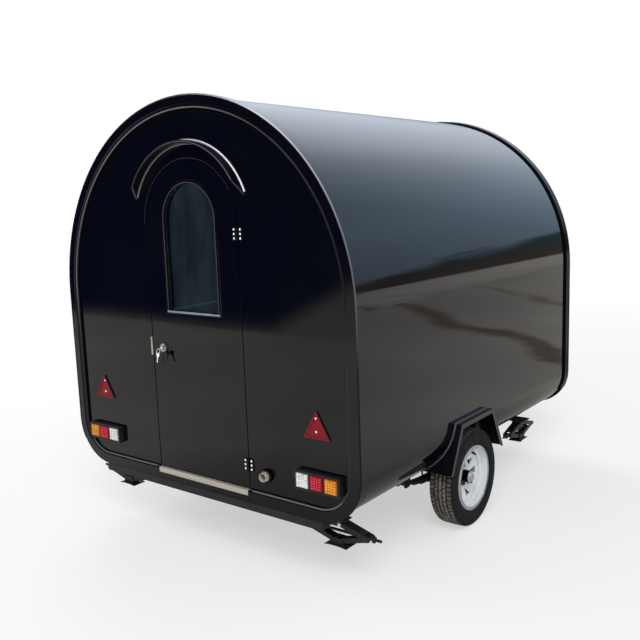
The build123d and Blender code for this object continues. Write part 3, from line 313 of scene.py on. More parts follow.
# dark and light colour, range of roughness, scale of the grain and its depth
PLAIN_FINISHES = {
    "trim_black": ((0.0012, 0.0014, 0.0028), (0.0024, 0.0025, 0.0036), (0.05, 0.1), 30, 0.0001),
    "gasket": ((0.0008, 0.0008, 0.0012), (0.0018, 0.0018, 0.0022), (0.30, 0.45), 200, 0.0002),
    "trim_dark": ((0.0010, 0.0011, 0.0018), (0.0020, 0.0021, 0.0030), (0.12, 0.22), 30, 0.0001),
    "sill_silver": ((0.40, 0.365, 0.315), (0.60, 0.555, 0.49), (0.34, 0.5), 240, 0.0003),
    "screw_bright": ((0.78, 0.79, 0.80), (0.92, 0.93, 0.94), (0.25, 0.4), 90, 0.0001),
    # blue-grey window strip: a painted reflection of the sky on the aluminium
    "strip_sky_reflection": ((0.20, 0.25, 0.29), (0.30, 0.36, 0.41), (0.2, 0.35), 80, 0.0001),
    "chassis_black": ((0.008, 0.008, 0.009), (0.018, 0.018, 0.019), *SATIN),
    "fender_black": ((0.0016, 0.0016, 0.0034), (0.003, 0.003, 0.006), (0.12, 0.2), 60, 0.0001),
    "jack_black": ((0.009, 0.009, 0.011), (0.022, 0.022, 0.025), *SATIN),
    "hinge_black": ((0.002, 0.002, 0.003), (0.005, 0.005, 0.006), (0.16, 0.3), 160, 0.0002),
    "lamp_black": ((0.008, 0.008, 0.009), (0.015, 0.015, 0.016), (0.3, 0.45), 300, 0.0003),
    "zinc_steel": ((0.42, 0.42, 0.44), (0.62, 0.62, 0.63), (0.26, 0.44), 90, 0.0002),
    "cap_steel": ((0.50, 0.52, 0.54), (0.66, 0.68, 0.70), (0.30, 0.46), 70, 0.0002),
    "chrome": ((0.62, 0.62, 0.63), (0.74, 0.74, 0.75), (0.10, 0.2), 60, 0.0001),
    "brass": ((0.30, 0.19, 0.08), (0.50, 0.34, 0.15), (0.3, 0.5), 200, 0.0002),
    "wheel_white": ((0.60, 0.63, 0.65), (0.74, 0.77, 0.80), (0.22, 0.4), 35, 0.0002),
    "jockey_rubber": ((0.012, 0.012, 0.012), (0.03, 0.029, 0.028), (0.6, 0.8), 200, 0.0004),
    "lining": ((0.46, 0.47, 0.48), (0.56, 0.57, 0.58), (0.35, 0.5), 50, 0.0002),
}
FURTHER_INPUTS = {
    "gasket": dict(Specular_IOR_Level=0.03),
    "trim_dark": dict(Specular_IOR_Level=0.05),
    "sill_silver": dict(Metallic=0.35, stretch=(0.03, 1, 1)),
    "strip_sky_reflection": dict(Metallic=0.3),
    "hinge_black": dict(Specular_IOR_Level=0.3),
    "zinc_steel": dict(Metallic=1.0),
    "cap_steel": dict(Metallic=0.85),
    "chrome": dict(Metallic=1.0),
    "brass": dict(Metallic=1.0),
    "wheel_white": dict(Coat_Weight=0.3),
}
# painted highlight lines: grey of the lower half, then greys from left to right
PAINTED_HIGHLIGHT_LINES = {
    "corner_line": (0.012, (0.002, 0.003, 0.07, 0.55, 0.08)),
    "bead_line": (0.034, (0.10, 0.13, 0.13, 0.045, 0.008)),
    "foot_line": (0.13, (0.13, 0.13)),
    "face_line": (0.001, (0.020, 0.020, 0.002, 0.0015, 0.0015)),
    "visor_seal_inner_painted_highlight": (0.05, (0.12, 0.12, 0.12, 0.14, 0.16, 0.01, 0.004, 0.004, 0.004)),
    "visor_seal_outer_painted_highlight": (0.20, (0.004, 0.004, 0.004, 0.01, 0.42, 0.78, 0.80, 0.60, 0.60)),
    "visor_lip": (0.05, (0.012, 0.02, 0.07, 0.085, 0.07)),
    "doorway_line": (0.008, (0.006, 0.012, 0.028, 0.012, 0.006)),
    "rim_line": (0.035, (0.05, 0.05, 0.06, 0.07, 0.07)),
    "fender_line": (0.12, (0.12, 0.12)),
}
LAMP_COLORS = {
    "lens_white": (0.60, 0.63, 0.64),
    "core_white": (0.92, 0.94, 0.94),
    "lens_red": (0.40, 0.003, 0.022),
    "core_red": (0.74, 0.045, 0.085),
    "lens_amber": (0.62, 0.165, 0.004),
    "core_amber": (0.90, 0.46, 0.045),
}
SPECIAL_FINISHES = {
    "body_black": gloss_black,
    "inner_floor": chequer_floor,
    "glass": tinted_glass,
    "reflector_red": prism_red,
    "tyre_rubber": tread_rubber,
}
finishes = {
    **{
        name: plain_finish(name, *row, **FURTHER_INPUTS.get(name, {}))
        for name, row in PLAIN_FINISHES.items()
    },
    **{name: painted_highlight_line(name, *row) for name, row in PAINTED_HIGHLIGHT_LINES.items()},
    **{name: lens_plastic(name, color) for name, color in LAMP_COLORS.items()},
    **{name: make(name) for name, make in SPECIAL_FINISHES.items()},
}

# Mesh helpers

# width of a node's rounded edges: the usual one, and others
EDGE_WIDTH = 0.0012
EDGE_WIDTHS = {
    "end_trims": 0.001,
    "visor": 0.004,
    "door_leaf": 0.0018,
    "door_hinges": 0.0008,
    "wall_hinges": 0.0008,
    "hatch_hinges": 0.0008,
    "door_lock": 0.0025,
    "wheel_boxes": 0.0024,
    "lamp_housings": 0.003,
    "triangle_reflectors": 0.0015,
}


def add_object(name, data):
    """Object in the scene."""
    obj = bpy.data.objects.new(name, data)
    bpy.context.scene.collection.objects.link(obj)
    return obj


def new_mesh(name, bm):
    """Mesh from a bmesh, which ends."""
    mesh = bpy.data.meshes.new(name)
    bm.to_mesh(mesh)
    bm.free()
    return mesh


def seat_piece(name, mesh, body, replaced, weigh=False):
    """Put a mesh in the scene as a piece; weigh lets its large faces stay flat beside rounded edges."""
    piece = add_object(name, mesh)
    if weigh:
        normals = piece.modifiers.new("normals", "WEIGHTED_NORMAL")
        normals.keep_sharp = True
        graph = bpy.context.evaluated_depsgraph_get()
        piece.data = bpy.data.meshes.new_from_object(piece.evaluated_get(graph))
        piece.data.name = name
        piece.modifiers.clear()
        bpy.data.meshes.remove(mesh)
    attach(piece, body)
    if replaced:
        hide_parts(*replaced)


def place_piece(name, bm, body, names, replaced=(), angle=SMOOTH_ANGLE):
    """Turn a bmesh into a piece with named finishes that rides on a body, smooth up to an angle."""
    mesh = new_mesh(name, bm)
    normals = mesh.attributes.get("custom_normal")
    if normals:
        mesh.attributes.remove(normals)
    mesh.shade_smooth()
    mesh.set_sharp_from_angle(angle=angle)
    for finish in names:
        mesh.materials.append(finishes[finish])
    seat_piece(name, mesh, body, replaced, True)


def place_shape(name, bm, body, slot, *names, replaced=(), angle=SMOOTH_ANGLE):
    """Place a shape drawn here, with its faces turned outwards."""
    bmesh.ops.recalc_face_normals(bm, faces=bm.faces)
    place_piece(name, bm, body, names, replaced, angle)


def round_edges(bm, width, segments=2, test=lambda edge: True):
    """Round the edges whose two faces meet at an angle and that pass a test."""
    sharp = [
        edge for edge in bm.edges
        if len(edge.link_faces) == 2 and edge.calc_face_angle(0) > SHARP_ANGLE and test(edge)
    ]
    bmesh.ops.bevel(
        bm, geom=sharp, offset=width, offset_type="OFFSET", segments=segments, profile=0.5, affect="EDGES",
        clamp_overlap=True,
    )


def softened(node, rounds=(), extra=(), paint=lambda face: 0, finish=None):
    """Copy of a CAD node with its edges rounded, that stands for it.

    rounds gives edges that are rounded first: (width, segments, test of an edge).
    finish stands in for the slot's own; extra gives further ones, and paint the finish's number for a face.
    """
    bm = bmesh.new()
    bm.from_mesh(nodes[node].data)
    bmesh.ops.remove_doubles(bm, verts=bm.verts, dist=WELD)
    bmesh.ops.dissolve_limit(bm, angle_limit=FLAT_ANGLE, verts=bm.verts, edges=bm.edges)
    for width, segments, test in rounds:
        round_edges(bm, width, segments, test)
    round_edges(bm, EDGE_WIDTHS.get(node, EDGE_WIDTH))
    for face in bm.faces:
        face.material_index = paint(face)
    slot = node_slot[node]
    place_piece(f"{node}_dressed", bm, nodes[node]["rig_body"], (finish or slot, *extra), (node,))


def axis_frame(origin, direction):
    """Matrix whose z axis runs along a direction from an origin."""
    turn = Vector(direction).normalized().to_track_quat("Z", "Y")
    return Matrix.LocRotScale(Vector(origin), turn, None)


def arc(centre, radius, start, end, count):
    """Points of a flat arc about a centre, between two angles in degrees."""
    angles = (math.radians(start + (end - start) * step / count) for step in range(count + 1))
    return [(centre[0] + radius * math.cos(angle), centre[1] + radius * math.sin(angle)) for angle in angles]


def skin(bm, rings, closed_path, closed_ring=True, material=0):
    """Faces between rings of vertices, in order along their path."""
    count = len(rings[0])
    for step in range(len(rings) if closed_path else len(rings) - 1):
        here, after = rings[step], rings[(step + 1) % len(rings)]
        for index in range(count if closed_ring else count - 1):
            following = (index + 1) % count
            face = bm.faces.new((here[index], after[index], after[following], here[following]))
            face.material_index = material


def turn_profile(bm, profile, matrix, count, material=0, closed=False):
    """Revolve a profile of (radius, height) points about a frame's z axis."""
    rings = [[
        bm.verts.new(matrix @ Vector((radius * math.cos(angle), radius * math.sin(angle), height)))
        for radius, height in profile
    ] for angle in (math.tau * step / count for step in range(count))]
    skin(bm, rings, True, closed, material)
    bmesh.ops.remove_doubles(bm, verts=[vert for ring in rings for vert in ring], dist=WELD)


def round_tube(bm, path, radius, sides=8, closed_path=False, material=0):
    """Round bar along a path of points."""
    points = [Vector(point) for point in path]
    count = len(points)
    rings = []
    side_way = None
    for index, point in enumerate(points):
        before = points[index - 1] if index or closed_path else point
        after = points[(index + 1) % count] if index < count - 1 or closed_path else point
        along = (after - before).normalized()
        if side_way is None:
            side_way = along.orthogonal()
        side_way = (side_way - along * side_way.dot(along)).normalized()
        other_way = along.cross(side_way)
        rings.append([
            bm.verts.new(point + radius * (math.cos(angle) * side_way + math.sin(angle) * other_way))
            for angle in (math.tau * step / sides for step in range(sides))
        ])
    skin(bm, rings, closed_path, material=material)
    if not closed_path:
        for ring in (rings[0][::-1], rings[-1]):
            bm.faces.new(ring).material_index = material


def block(bm, low, high):
    """Box between two corners."""
    low, high = Vector(low), Vector(high)
    for vert in bmesh.ops.create_cube(bm, size=1.0)["verts"]:
        vert.co = Vector(low[i] + (vert.co[i] + 0.5) * (high[i] - low[i]) for i in range(3))


def domes(name, places, size, body, count=14):
    """Bright screw heads of a size (radius, height) on faces that look backwards: domes with a dimple."""
    bm = bmesh.new()
    radius, height = size
    profile = (
        (0, 0.55 * height), (0.28 * radius, 0.6 * height), (0.4 * radius, height),
        (0.75 * radius, 0.8 * height), (radius, 0.25 * height), (radius, -0.3 * height),
    )
    for origin in places:
        turn_profile(bm, profile, axis_frame(origin, (0, -1, 0)), count)
    place_shape(name, bm, body, "zinc_steel", "screw_bright")


# Cabin

BEAD_CREST = 0.007
LINING_DEPTH = 0.9 * WALL
ARCH_Z = door_high.z - door_high.x
visor_low, visor_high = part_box("visor")
VISOR_OUTER = visor_high.z - ARCH_Z
VISOR_INNER = VISOR_OUTER - 0.016
DOORWAY_RADIUS = door_high.x + 0.005
DOOR_STOP_Y = max(REAR_WALL_INNER_Y, door_high.y) + 0.0075
GROOVE_END_X = 0.55
FOOT_INSET = TRIM_FACE + 0.008
FOOT_MIDDLE_X = 0.6
FOOT_END_X = DOORWAY_RADIUS + 0.02
FOOT_PROUD = 0.008
FOOT_RADIUS = 0.0042
LAP_DEPTH = 0.004
ARCH_STEPS = 56
# lines along the end trims; the corner and bead-crest lines carry painted highlights, the groove lines paint
# the shade of grooves, the face groove with a painted highlight on its upper left: name, inset from the
# outline, depth behind the trim's face, radius, finish
TRIM_LINES = (
    ("corner_line", 0.0015, 0.0015, 0.0040, "corner_line"),
    ("face_groove", 0.0455, 0.0050, 0.0070, "face_line"),
    ("bead_crest", 0.0595, 0.0045, 0.0042, "bead_line"),
    ("wall_groove", 0.0760, 0.0155, 0.0068, "gasket"),
)
# lines about the doorway's head; all but the door stop carry painted highlights: name, arch's radius, y,
# start and end in degrees, radius, finish
ARCH_LINES = (
    ("visor_seal_inner_painted_highlight", VISOR_INNER - 0.001, REAR_WALL_Y - 0.002, 22, 158, 0.0046, "visor_seal_inner_painted_highlight"),
    ("visor_seal_outer_painted_highlight", VISOR_OUTER + 0.001, REAR_WALL_Y - 0.002, 22, 158, 0.0046, "visor_seal_outer_painted_highlight"),
    ("visor_lip_line", (VISOR_INNER + VISOR_OUTER) / 2, visor_low.y + 0.0005, 31, 149, 0.0030, "visor_lip"),
    ("doorway_line", DOORWAY_RADIUS + 0.0008, REAR_WALL_Y - 0.0002, 30, 178, 0.0021, "doorway_line"),
    ("door_stop", DOORWAY_RADIUS - 0.002, DOOR_STOP_Y, 15, 165, 0.0065, "gasket"),
)
# seals behind the end trims' laps: name, y, radius
LAP_SEALS = (
    ("rear_lap_seal", REAR_Y + TRIM_BAND + 0.001, 0.0036),
    ("front_lap_seal", FRONT_Y - TRIM_BAND - 0.006, 0.0105),
)


def at_an_end(edge):
    """Whether an edge lies in the outer face of an end trim."""
    return all(min(abs(vert.co.y - REAR_Y), abs(vert.co.y - FRONT_Y)) < NEAR for vert in edge.verts)


def on_outline(edge, inset):
    """Whether an edge follows the body's outline at an inset."""
    return all(abs(outline_depth(vert.co.x, vert.co.z) - inset) < NEAR for vert in edge.verts)


def on_bead_crest(edge):
    """Whether an edge lies along the top of the bead inside an end trim."""
    off_wall = all(
        max(REAR_WALL_Y - vert.co.y, vert.co.y - FRONT_WALL_Y) > BEAD_CREST for vert in edge.verts
    )
    return off_wall and (on_outline(edge, BEAD_OUTER) or on_outline(edge, BEAD_INNER))


# edges of the end trims that are rounded first: width, segments, test of an edge
TRIM_ROUNDS = (
    (0.019, 7, lambda edge: at_an_end(edge) and on_outline(edge, 0)),
    (0.005, 3, lambda edge: at_an_end(edge) and on_outline(edge, TRIM_FACE)),
    (0.0042, 3, on_bead_crest),
    (0.004, 3, lambda edge: on_outline(edge, 0)),
)


def inner_side(middle):
    """Finish number of a cabin wall's face from its middle: 1 where it looks into the cabin."""
    inside = outline_depth(middle.x, middle.z) > HALF_WIDTH - SHELL_HALF + 0.8 * WALL
    return int(inside and REAR_WALL_Y + LINING_DEPTH < middle.y < FRONT_WALL_Y - LINING_DEPTH)


def front_lap(face):
    """Finish number of an end trim's face: 1 on the front trim's lap over the shell."""
    middle = face.calc_center_median()
    return int(middle.y > 0 and abs(face.normal.y) < 0.5 and outline_depth(middle.x, middle.z) < LAP_DEPTH)


def side_bevel(face):
    """Finish number of a wheel box's face: 1 on the rounded edges of its side, which carry a painted
    highlight.
    """
    return int(0.2 < abs(face.normal.x) < 0.97)


def lined(node):
    """Copy of a cabin panel that stands for it, with its lining's faces in their own finish."""
    slot = node_slot[node]
    mesh = nodes[node].data.copy()
    mesh.materials.clear()
    for finish in (slot, "lining"):
        mesh.materials.append(finishes[finish])
    for face in mesh.polygons:
        face.material_index = inner_side(face.center)
    seat_piece(f"{node}_lined", mesh, nodes[node]["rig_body"], (node,))


def outline_path(inset, base_z, step=0.05):
    """Points (x, z) of the body's outline at an inset, over the roof from one base height to the other."""
    corner = CORNER_RADIUS - inset
    roof = HALF_WIDTH - inset
    start = math.asin((base_z - CORNER_Z) / corner)
    points = arc((CORNER_X, CORNER_Z), corner, math.degrees(start), 0, max(2, round(-start * corner / step)))
    count = round(math.pi * roof / step)
    points += arc((0, CROWN_Z), roof, 0, 180, count)[:count // 2]
    return points + [(0.0, CROWN_Z + roof)] + [(-x, z) for x, z in reversed(points)]


def edge_bead(name, paths, radius, finish):
    """Round beads along some paths on the cabin."""
    bm = bmesh.new()
    for path in paths:
        round_tube(bm, path, radius)
    place_shape(name, bm, "trailer", "trim_black", finish)


def dress_seals():
    """Lines and seals along the end trims, where the visor meets the wall and round the doorway's head; the
    lines carry painted highlights and painted groove shade.
    """
    lap = outline_path(TRIM_PROUD, CORNER_Z - CORNER_RADIUS / 2 + 0.002)
    for name, y, radius in LAP_SEALS:
        edge_bead(name, [[(x, y, z) for x, z in lap]], radius, "gasket")
    for name, inset, depth, radius, finish in TRIM_LINES:
        path = outline_path(inset, BASE_Z + CORNER_RADIUS / 2)
        if "groove" in name:
            path = [point for point in path if point[0] < GROOVE_END_X]
        paths = [[(x, y, z) for x, z in path] for y in (REAR_Y + depth, FRONT_Y - depth)]
        edge_bead(name, paths, radius, finish)
    for name, reach, y, start, end, radius, finish in ARCH_LINES:
        arch = arc((0, ARCH_Z), reach, start, end, ARCH_STEPS)
        edge_bead(name, [[(x, y, z) for x, z in arch]], radius, finish)
    # painted highlight line along the foot of the rear wall, at both sides
    foot = [
        *arc((CORNER_X, CORNER_Z), CORNER_RADIUS - FOOT_INSET, -24, -90, 12),
        (FOOT_MIDDLE_X, BASE_Z + FOOT_INSET), (FOOT_END_X, BASE_Z + FOOT_INSET),
    ]
    paths = [[(side * x, REAR_WALL_Y - FOOT_PROUD, z) for x, z in foot] for side in (1, -1)]
    edge_bead("foot_line", paths, FOOT_RADIUS, "foot_line")


def dress_cabin():
    for node in ("right_shell", "left_shell", "rear_wall", "front_wall", "hatch"):
        lined(node)
    softened("end_trims", rounds=TRIM_ROUNDS, extra=("trim_dark",), paint=front_lap)
    dress_seals()
    softened("visor")
    softened("door_leaf", extra=("lining",), paint=lambda face: inner_side(face.calc_center_median()))
    for node in ("door_hinges", "wall_hinges", "hatch_hinges"):
        softened(node)
    softened("door_sill", finish="sill_silver")


def dress_rest():
    """Chassis, jacks and other solids whose forms are right."""
    for node in nodes:
        if node == "wheel_boxes":
            softened(node, extra=("fender_line",), paint=side_bevel)
        elif node_slot[node] in ("chassis_black", "jack_black", "zinc_steel") and node != "drain_outlet":
            softened(node)
    for node in ("floor", "door_glass", "jockey_wheel"):
        nodes[node].data.materials[0] = finishes[node_slot[node]]


dress_cabin()
dress_rest()

# Wheels

TREAD_HALF = 0.058
TREAD_GROOVES = (-0.0345, -0.0115, 0.0115, 0.0345)
TREAD_CROWN = 0.0022
GROOVE_HALF = 0.0042
GROOVE_DEPTH = 0.008
TREAD_BLOCKS = 68
BLOCK_STEPS = 6
OUTER_CUT = 0.0055
INNER_CUT = 0.0035
CUT_START = 0.2415
TYRE_ANGLE = math.radians(32)
# side wall from the bead out to the tread's edge: (out from the wheel's middle, radius)
SIDE_WALL = (
    (0.0605, 0.166), (0.0616, 0.1805), (0.0650, 0.184), (0.0670, 0.188), (0.0715, 0.196), (0.0745, 0.2065),
    (0.0752, 0.208), (0.0752, 0.210), (0.0746, 0.2115), (0.0744, 0.226), (0.0732, 0.239), (0.0710, 0.2490),
    (0.0672, 0.2570), (0.0615, 0.2635),
)


def wheel_point(side, out, radius, angle):
    """Point of a road wheel: out from its middle, at a radius and an angle about the axle."""
    return Vector((
        side * (WHEEL_X + out), AXLE_Y + radius * math.cos(angle), TYRE_RADIUS + radius * math.sin(angle)))


def tread_profile():
    """Tyre profile from one bead to the other: (out, radius, depth of the cross cuts, their shift)."""
    wall = [(out, radius, INNER_CUT if radius > CUT_START else 0.0, 0) for out, radius in SIDE_WALL]
    rows = [(-out, *rest) for out, *rest in wall]
    edges = [-TREAD_HALF]
    for groove in TREAD_GROOVES:
        edges += [groove - GROOVE_HALF, groove + GROOVE_HALF]
    edges.append(TREAD_HALF)
    for rib in range(0, len(edges), 2):
        low, high = edges[rib], edges[rib + 1]
        cut = OUTER_CUT if rib in (0, len(edges) - 2) else INNER_CUT
        shift = BLOCK_STEPS // 2 if rib % 4 else 0
        for out in (low, (low + high) / 2, high):
            rows.append((out, TYRE_RADIUS - TREAD_CROWN * (out / TREAD_HALF) ** 2, cut, shift))
        if high < TREAD_HALF:
            for share in (0.35, 1.65):
                rows.append((high + share * GROOVE_HALF, TYRE_RADIUS - GROOVE_DEPTH, 0, 0))
    return rows + wall[::-1]


def dress_tyre(side, name):
    count = TREAD_BLOCKS * BLOCK_STEPS
    bm = bmesh.new()
    rings = []
    for step in range(count):
        rings.append([
            bm.verts.new(wheel_point(
                side, out, radius - cut * ((step + shift) % BLOCK_STEPS == 0), math.tau * step / count))
            for out, radius, cut, shift in tread_profile()
        ])
    skin(bm, rings, True)
    place_shape(f"tyre_{name}_tread", bm, f"wheel_{name}", "tyre_rubber", "tyre_rubber",
                replaced=(f"tyre_{name}",), angle=TYRE_ANGLE)


HUB_RADIUS = 0.0345
DISC_OUT = -0.018
CAP_OUT = 0.0415
NUT_CIRCLE = 0.054
NUT_RADIUS = 0.0125
STUD_RADIUS = 0.0062
# parts of a wheel nut: profile of (radius, out from the disc), sides, finish
NUT_PARTS = (
    (((0.9 * NUT_RADIUS, 0.0028), (1.25 * NUT_RADIUS, 0.0028), (1.3 * NUT_RADIUS, -0.003)), 20, 1),
    (((NUT_RADIUS, 0.0130), (NUT_RADIUS, 0.002)), 6, 0),
    (((0.55 * NUT_RADIUS, 0.0170), (0.82 * NUT_RADIUS, 0.0165), (NUT_RADIUS, 0.0130)), 6, 1),
    (((0, 0.0205), (0.8 * STUD_RADIUS, 0.0205), (STUD_RADIUS, 0.019), (STUD_RADIUS, 0.004)), 12, 0),
)
# valve: (out, radius) of its path
VALVE = ((0.004, 0.140), (0.018, 0.137), (0.034, 0.131))
VALVE_ANGLE = math.radians(52)
VALVE_RADIUS = 0.0056
# brake drum behind the vents: (radius, out)
BRAKE_DRUM = ((0.046, -0.027), (0.132, -0.027), (0.138, -0.031), (0.138, -0.044), (0.046, -0.044))


def dress_wheel(side, name):
    def hub_finish(face):
        """Finish number of a wheel's face: 2 on the hub's cap, 1 on the rest of the hub."""
        middle = face.calc_center_median()
        radius = math.hypot(middle.y - AXLE_Y, middle.z - TYRE_RADIUS)
        out = side * middle.x - WHEEL_X
        if radius > HUB_RADIUS or out < DISC_OUT + 0.001:
            return 0
        return 2 if out > CAP_OUT else 1

    body = f"wheel_{name}"
    softened(body, extra=("gasket", "cap_steel"), paint=hub_finish)
    bm = bmesh.new()
    for step in range(5):
        place = axis_frame(wheel_point(side, DISC_OUT, NUT_CIRCLE, math.tau * step / 5), (side, 0, 0))
        for profile, sides, material in NUT_PARTS:
            turn_profile(bm, profile, place, sides, material)
    valve = [wheel_point(side, out, radius, VALVE_ANGLE) for out, radius in VALVE]
    round_tube(bm, valve, VALVE_RADIUS, 10, material=1)
    place_shape(f"{body}_nuts", bm, body, "zinc_steel", "brass", "gasket")
    bm = bmesh.new()
    turn_profile(bm, BRAKE_DRUM, axis_frame(wheel_point(side, 0, 0, 0), (side, 0, 0)), 48, closed=True)
    place_shape(f"{body}_drum", bm, body, "chassis_black", "gasket")


for side, name in ((1, "right"), (-1, "left")):
    dress_tyre(side, name)
    dress_wheel(side, name)

# Rear fittings

lens_low, lens_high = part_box("lamp_lenses")
LENS_SIZE = lens_high.z - lens_low.z
LENS_DEPTH = 0.007
LENS_PITCH = 0.082
LENS_GAP = 0.009
LENS_HALF = (LENS_SIZE - LENS_GAP) / 2
LENS_FIELD = LENS_HALF - 0.004
LENS_FACE_Y = lens_low.y + 0.001
LENS_Z = (lens_low.z + lens_high.z) / 2
OUTER_LENS_X = lens_high.x - LENS_SIZE / 2
LENS_ROWS = 5
LENS_COLUMNS = 4
LENS_STEPS = 6
LENS_DOME = 0.0030
DOME_SPREAD = 4.4
LENS_CORE = 0.085


def lens_ticks(cells):
    """Places of a lens's grid along one side, with a plain margin at both ends."""
    count = cells * LENS_STEPS
    field = [-LENS_FIELD + 2 * LENS_FIELD * step / count for step in range(count + 1)]
    return [-LENS_HALF, *field, LENS_HALF]


def off_core(x, z):
    """Square of a lens point's distance from the middle of its dome, in shares of the dome's size."""
    if abs(x) >= LENS_FIELD or abs(z) >= LENS_FIELD:
        return 1.0
    return sum(
        ((place / (2 * LENS_FIELD) + 0.5) * count % 1 - 0.5) ** 2
        for place, count in ((x, LENS_COLUMNS), (z, LENS_ROWS))
    )


def lens_face(bm, centre_x):
    """One lamp lens: a grid of small domes with bright cores and a plain margin, closed at the back."""
    def lens_point(x, z):
        rise = LENS_DOME * math.sqrt(max(0, 1 - DOME_SPREAD * off_core(x, z)))
        return centre_x + x, LENS_FACE_Y - rise, LENS_Z + z

    rows = [[bm.verts.new(lens_point(x, z)) for x in lens_ticks(LENS_COLUMNS)] for z in lens_ticks(LENS_ROWS)]
    for low, high in zip(rows, rows[1:]):
        for index in range(len(low) - 1):
            face = bm.faces.new((low[index], low[index + 1], high[index + 1], high[index]))
            middle = face.calc_center_median()
            face.material_index = int(off_core(middle.x - centre_x, middle.z - LENS_Z) < LENS_CORE)
    border = rows[0] + [row[-1] for row in rows[1:]] + rows[-1][-2::-1] + [row[0] for row in rows[-2:0:-1]]
    back = [bm.verts.new(vert.co + Vector((0, LENS_DEPTH, 0))) for vert in border]
    skin(bm, [border, back], False)
    bm.faces.new(back)


def dress_lamps():
    softened("lamp_housings")
    for color, step in (("red", 1), ("white", 2), ("amber", 0)):
        bm = bmesh.new()
        for side in (1, -1):
            lens_face(bm, side * (OUTER_LENS_X - step * LENS_PITCH))
        place_shape(f"lens_{color}", bm, "trailer", "lamp_lens", f"lens_{color}", f"core_{color}",
                    replaced=("lamp_lenses",) if color == "red" else ())


reflector_low, reflector_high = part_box("triangle_reflectors")
REFLECTOR_SIDE = 0.150
REFLECTOR_SCREW = (0.0052, 0.0025)
REFLECTOR_SCREW_SINK = 0.0028


def dress_reflectors():
    softened("triangle_reflectors", extra=("lamp_black",), paint=lambda face: int(face.normal.y > -0.5))
    centre_x = reflector_high.x - REFLECTOR_SIDE / 2
    height = reflector_high.z - reflector_low.z
    places = [
        (side * centre_x, reflector_low.y + REFLECTOR_SCREW_SINK, reflector_low.z + share * height)
        for side in (1, -1) for share in (0.26, 0.76)
    ]
    domes("reflector_screws", places, REFLECTOR_SCREW, "trailer")


door_hinge_low, door_hinge_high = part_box("door_hinges")
HINGE_HEIGHT = 0.062
HINGE_FACE_Y = REAR_WALL_Y - 0.004
HINGE_SCREW = (0.0056, 0.0026)
HINGE_SCREW_IN = 0.0125
HINGE_SCREW_STEP = 0.021
hinge_heights = (door_hinge_low.z + HINGE_HEIGHT / 2, door_hinge_high.z - HINGE_HEIGHT / 2)
hinge_edge_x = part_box("wall_hinges")[1].x


def dress_hinge_screws():
    """Three screws on each leaf of the door's hinges."""
    for node, body, leaf_x in (
        ("door_hinges", "door", door_hinge_low.x + HINGE_SCREW_IN),
        ("wall_hinges", "trailer", hinge_edge_x - HINGE_SCREW_IN),
    ):
        places = [
            (leaf_x, HINGE_FACE_Y, centre_z + step * HINGE_SCREW_STEP)
            for centre_z in hinge_heights for step in (-1, 0, 1)
        ]
        domes(f"{node}_screws", places, HINGE_SCREW, body)


JACK_EAR = 0.031
BRACKET_BOLT = (0.0105, 0.007)


def dress_bracket_bolts():
    """Bolt head on the rear ear of each rear jack's bracket, in line with the outer arm's pivot."""
    for name in ("right", "left"):
        x, y, z = joints[f"jack_rear_{name}_fold"]["pos_m"]
        domes(f"bracket_bolt_{name}", [(x, y - JACK_EAR, z)], BRACKET_BOLT, "trailer", 6)


dress_bracket_bolts()
dress_lamps()
dress_reflectors()
dress_hinge_screws()

# Lock, keys and strike

lock_x = (lock_low.x + lock_high.x) / 2
lock_z = (lock_low.z + lock_high.z) / 2
UPRIGHT = Matrix(((1, 0, 0, 0), (0, 0, 1, 0), (0, 1, 0, 0), (0, 0, 0, 1)))
# keys: head's radius, length, thickness, place from the middle of the lock's face, lean in degrees
DOOR_KEY = (0.011, 0.040, 0.002, (-0.016, -0.013, -0.036), 12)
SPARE_KEY = (0.014, 0.046, 0.005, (0.014, -0.013, -0.034), -24)
KEY_HALF = 0.0035
KEY_TEETH = 5
TOOTH_DEPTH = 0.002
KEY_TIP = 0.004
KEY_NECK = 0.001
KEY_BOW = ((-0.020, -0.011), (0.004, -0.005), (0.004, 0.005), (-0.020, 0.011))
KEY_BOW_THICKNESS = 0.002
KEY_RING_PLACE = (-0.008, -0.016, -0.016)
KEY_RING = 0.013
KEY_RING_LEAN = 0.35
KEY_WIRE = 0.0011
STRIKE_WIDTH = 0.010
STRIKE_HALF = 0.048
STRIKE_GAP = 0.006
STRIKE_PROUD = 0.004
STRIKE_SUNK = 0.002


def flat_shape(bm, outline, thickness, matrix):
    """Plate with a given outline in a frame's xy plane."""
    front, back = (
        [bm.verts.new(matrix @ Vector((x, y, height))) for x, y in outline]
        for height in (thickness / 2, -thickness / 2)
    )
    for ring in (front, back[::-1]):
        bm.faces.new(ring)
    skin(bm, [front, back], False)


def key_outline(head, length):
    """Key seen flat: round head, shank and a toothed edge, hanging down from the head's middle."""
    pitch = 0.6 * length / KEY_TEETH
    points = arc((0, 0), head, -70, 250, 16)
    points += [(-KEY_HALF, -head - KEY_NECK), (-KEY_HALF, -length), (0, -length - KEY_TIP)]
    for tooth in range(KEY_TEETH):
        low = -length + tooth * pitch
        points += [(KEY_HALF - TOOTH_DEPTH, low), (KEY_HALF, low + 0.3 * pitch)]
    return points + [(KEY_HALF, -head - KEY_NECK)]


def by_lock(x, y, z):
    """Place beside the middle of the lock's face."""
    return Vector((lock_x + x, lock_low.y + y, lock_z + z))


def hanging_key(bm, head, length, thickness, place, lean):
    """Key that hangs by the lock."""
    hung = Matrix.Translation(by_lock(*place)) @ Matrix.Rotation(math.radians(lean), 4, "Y") @ UPRIGHT
    flat_shape(bm, key_outline(head, length), thickness, hung)


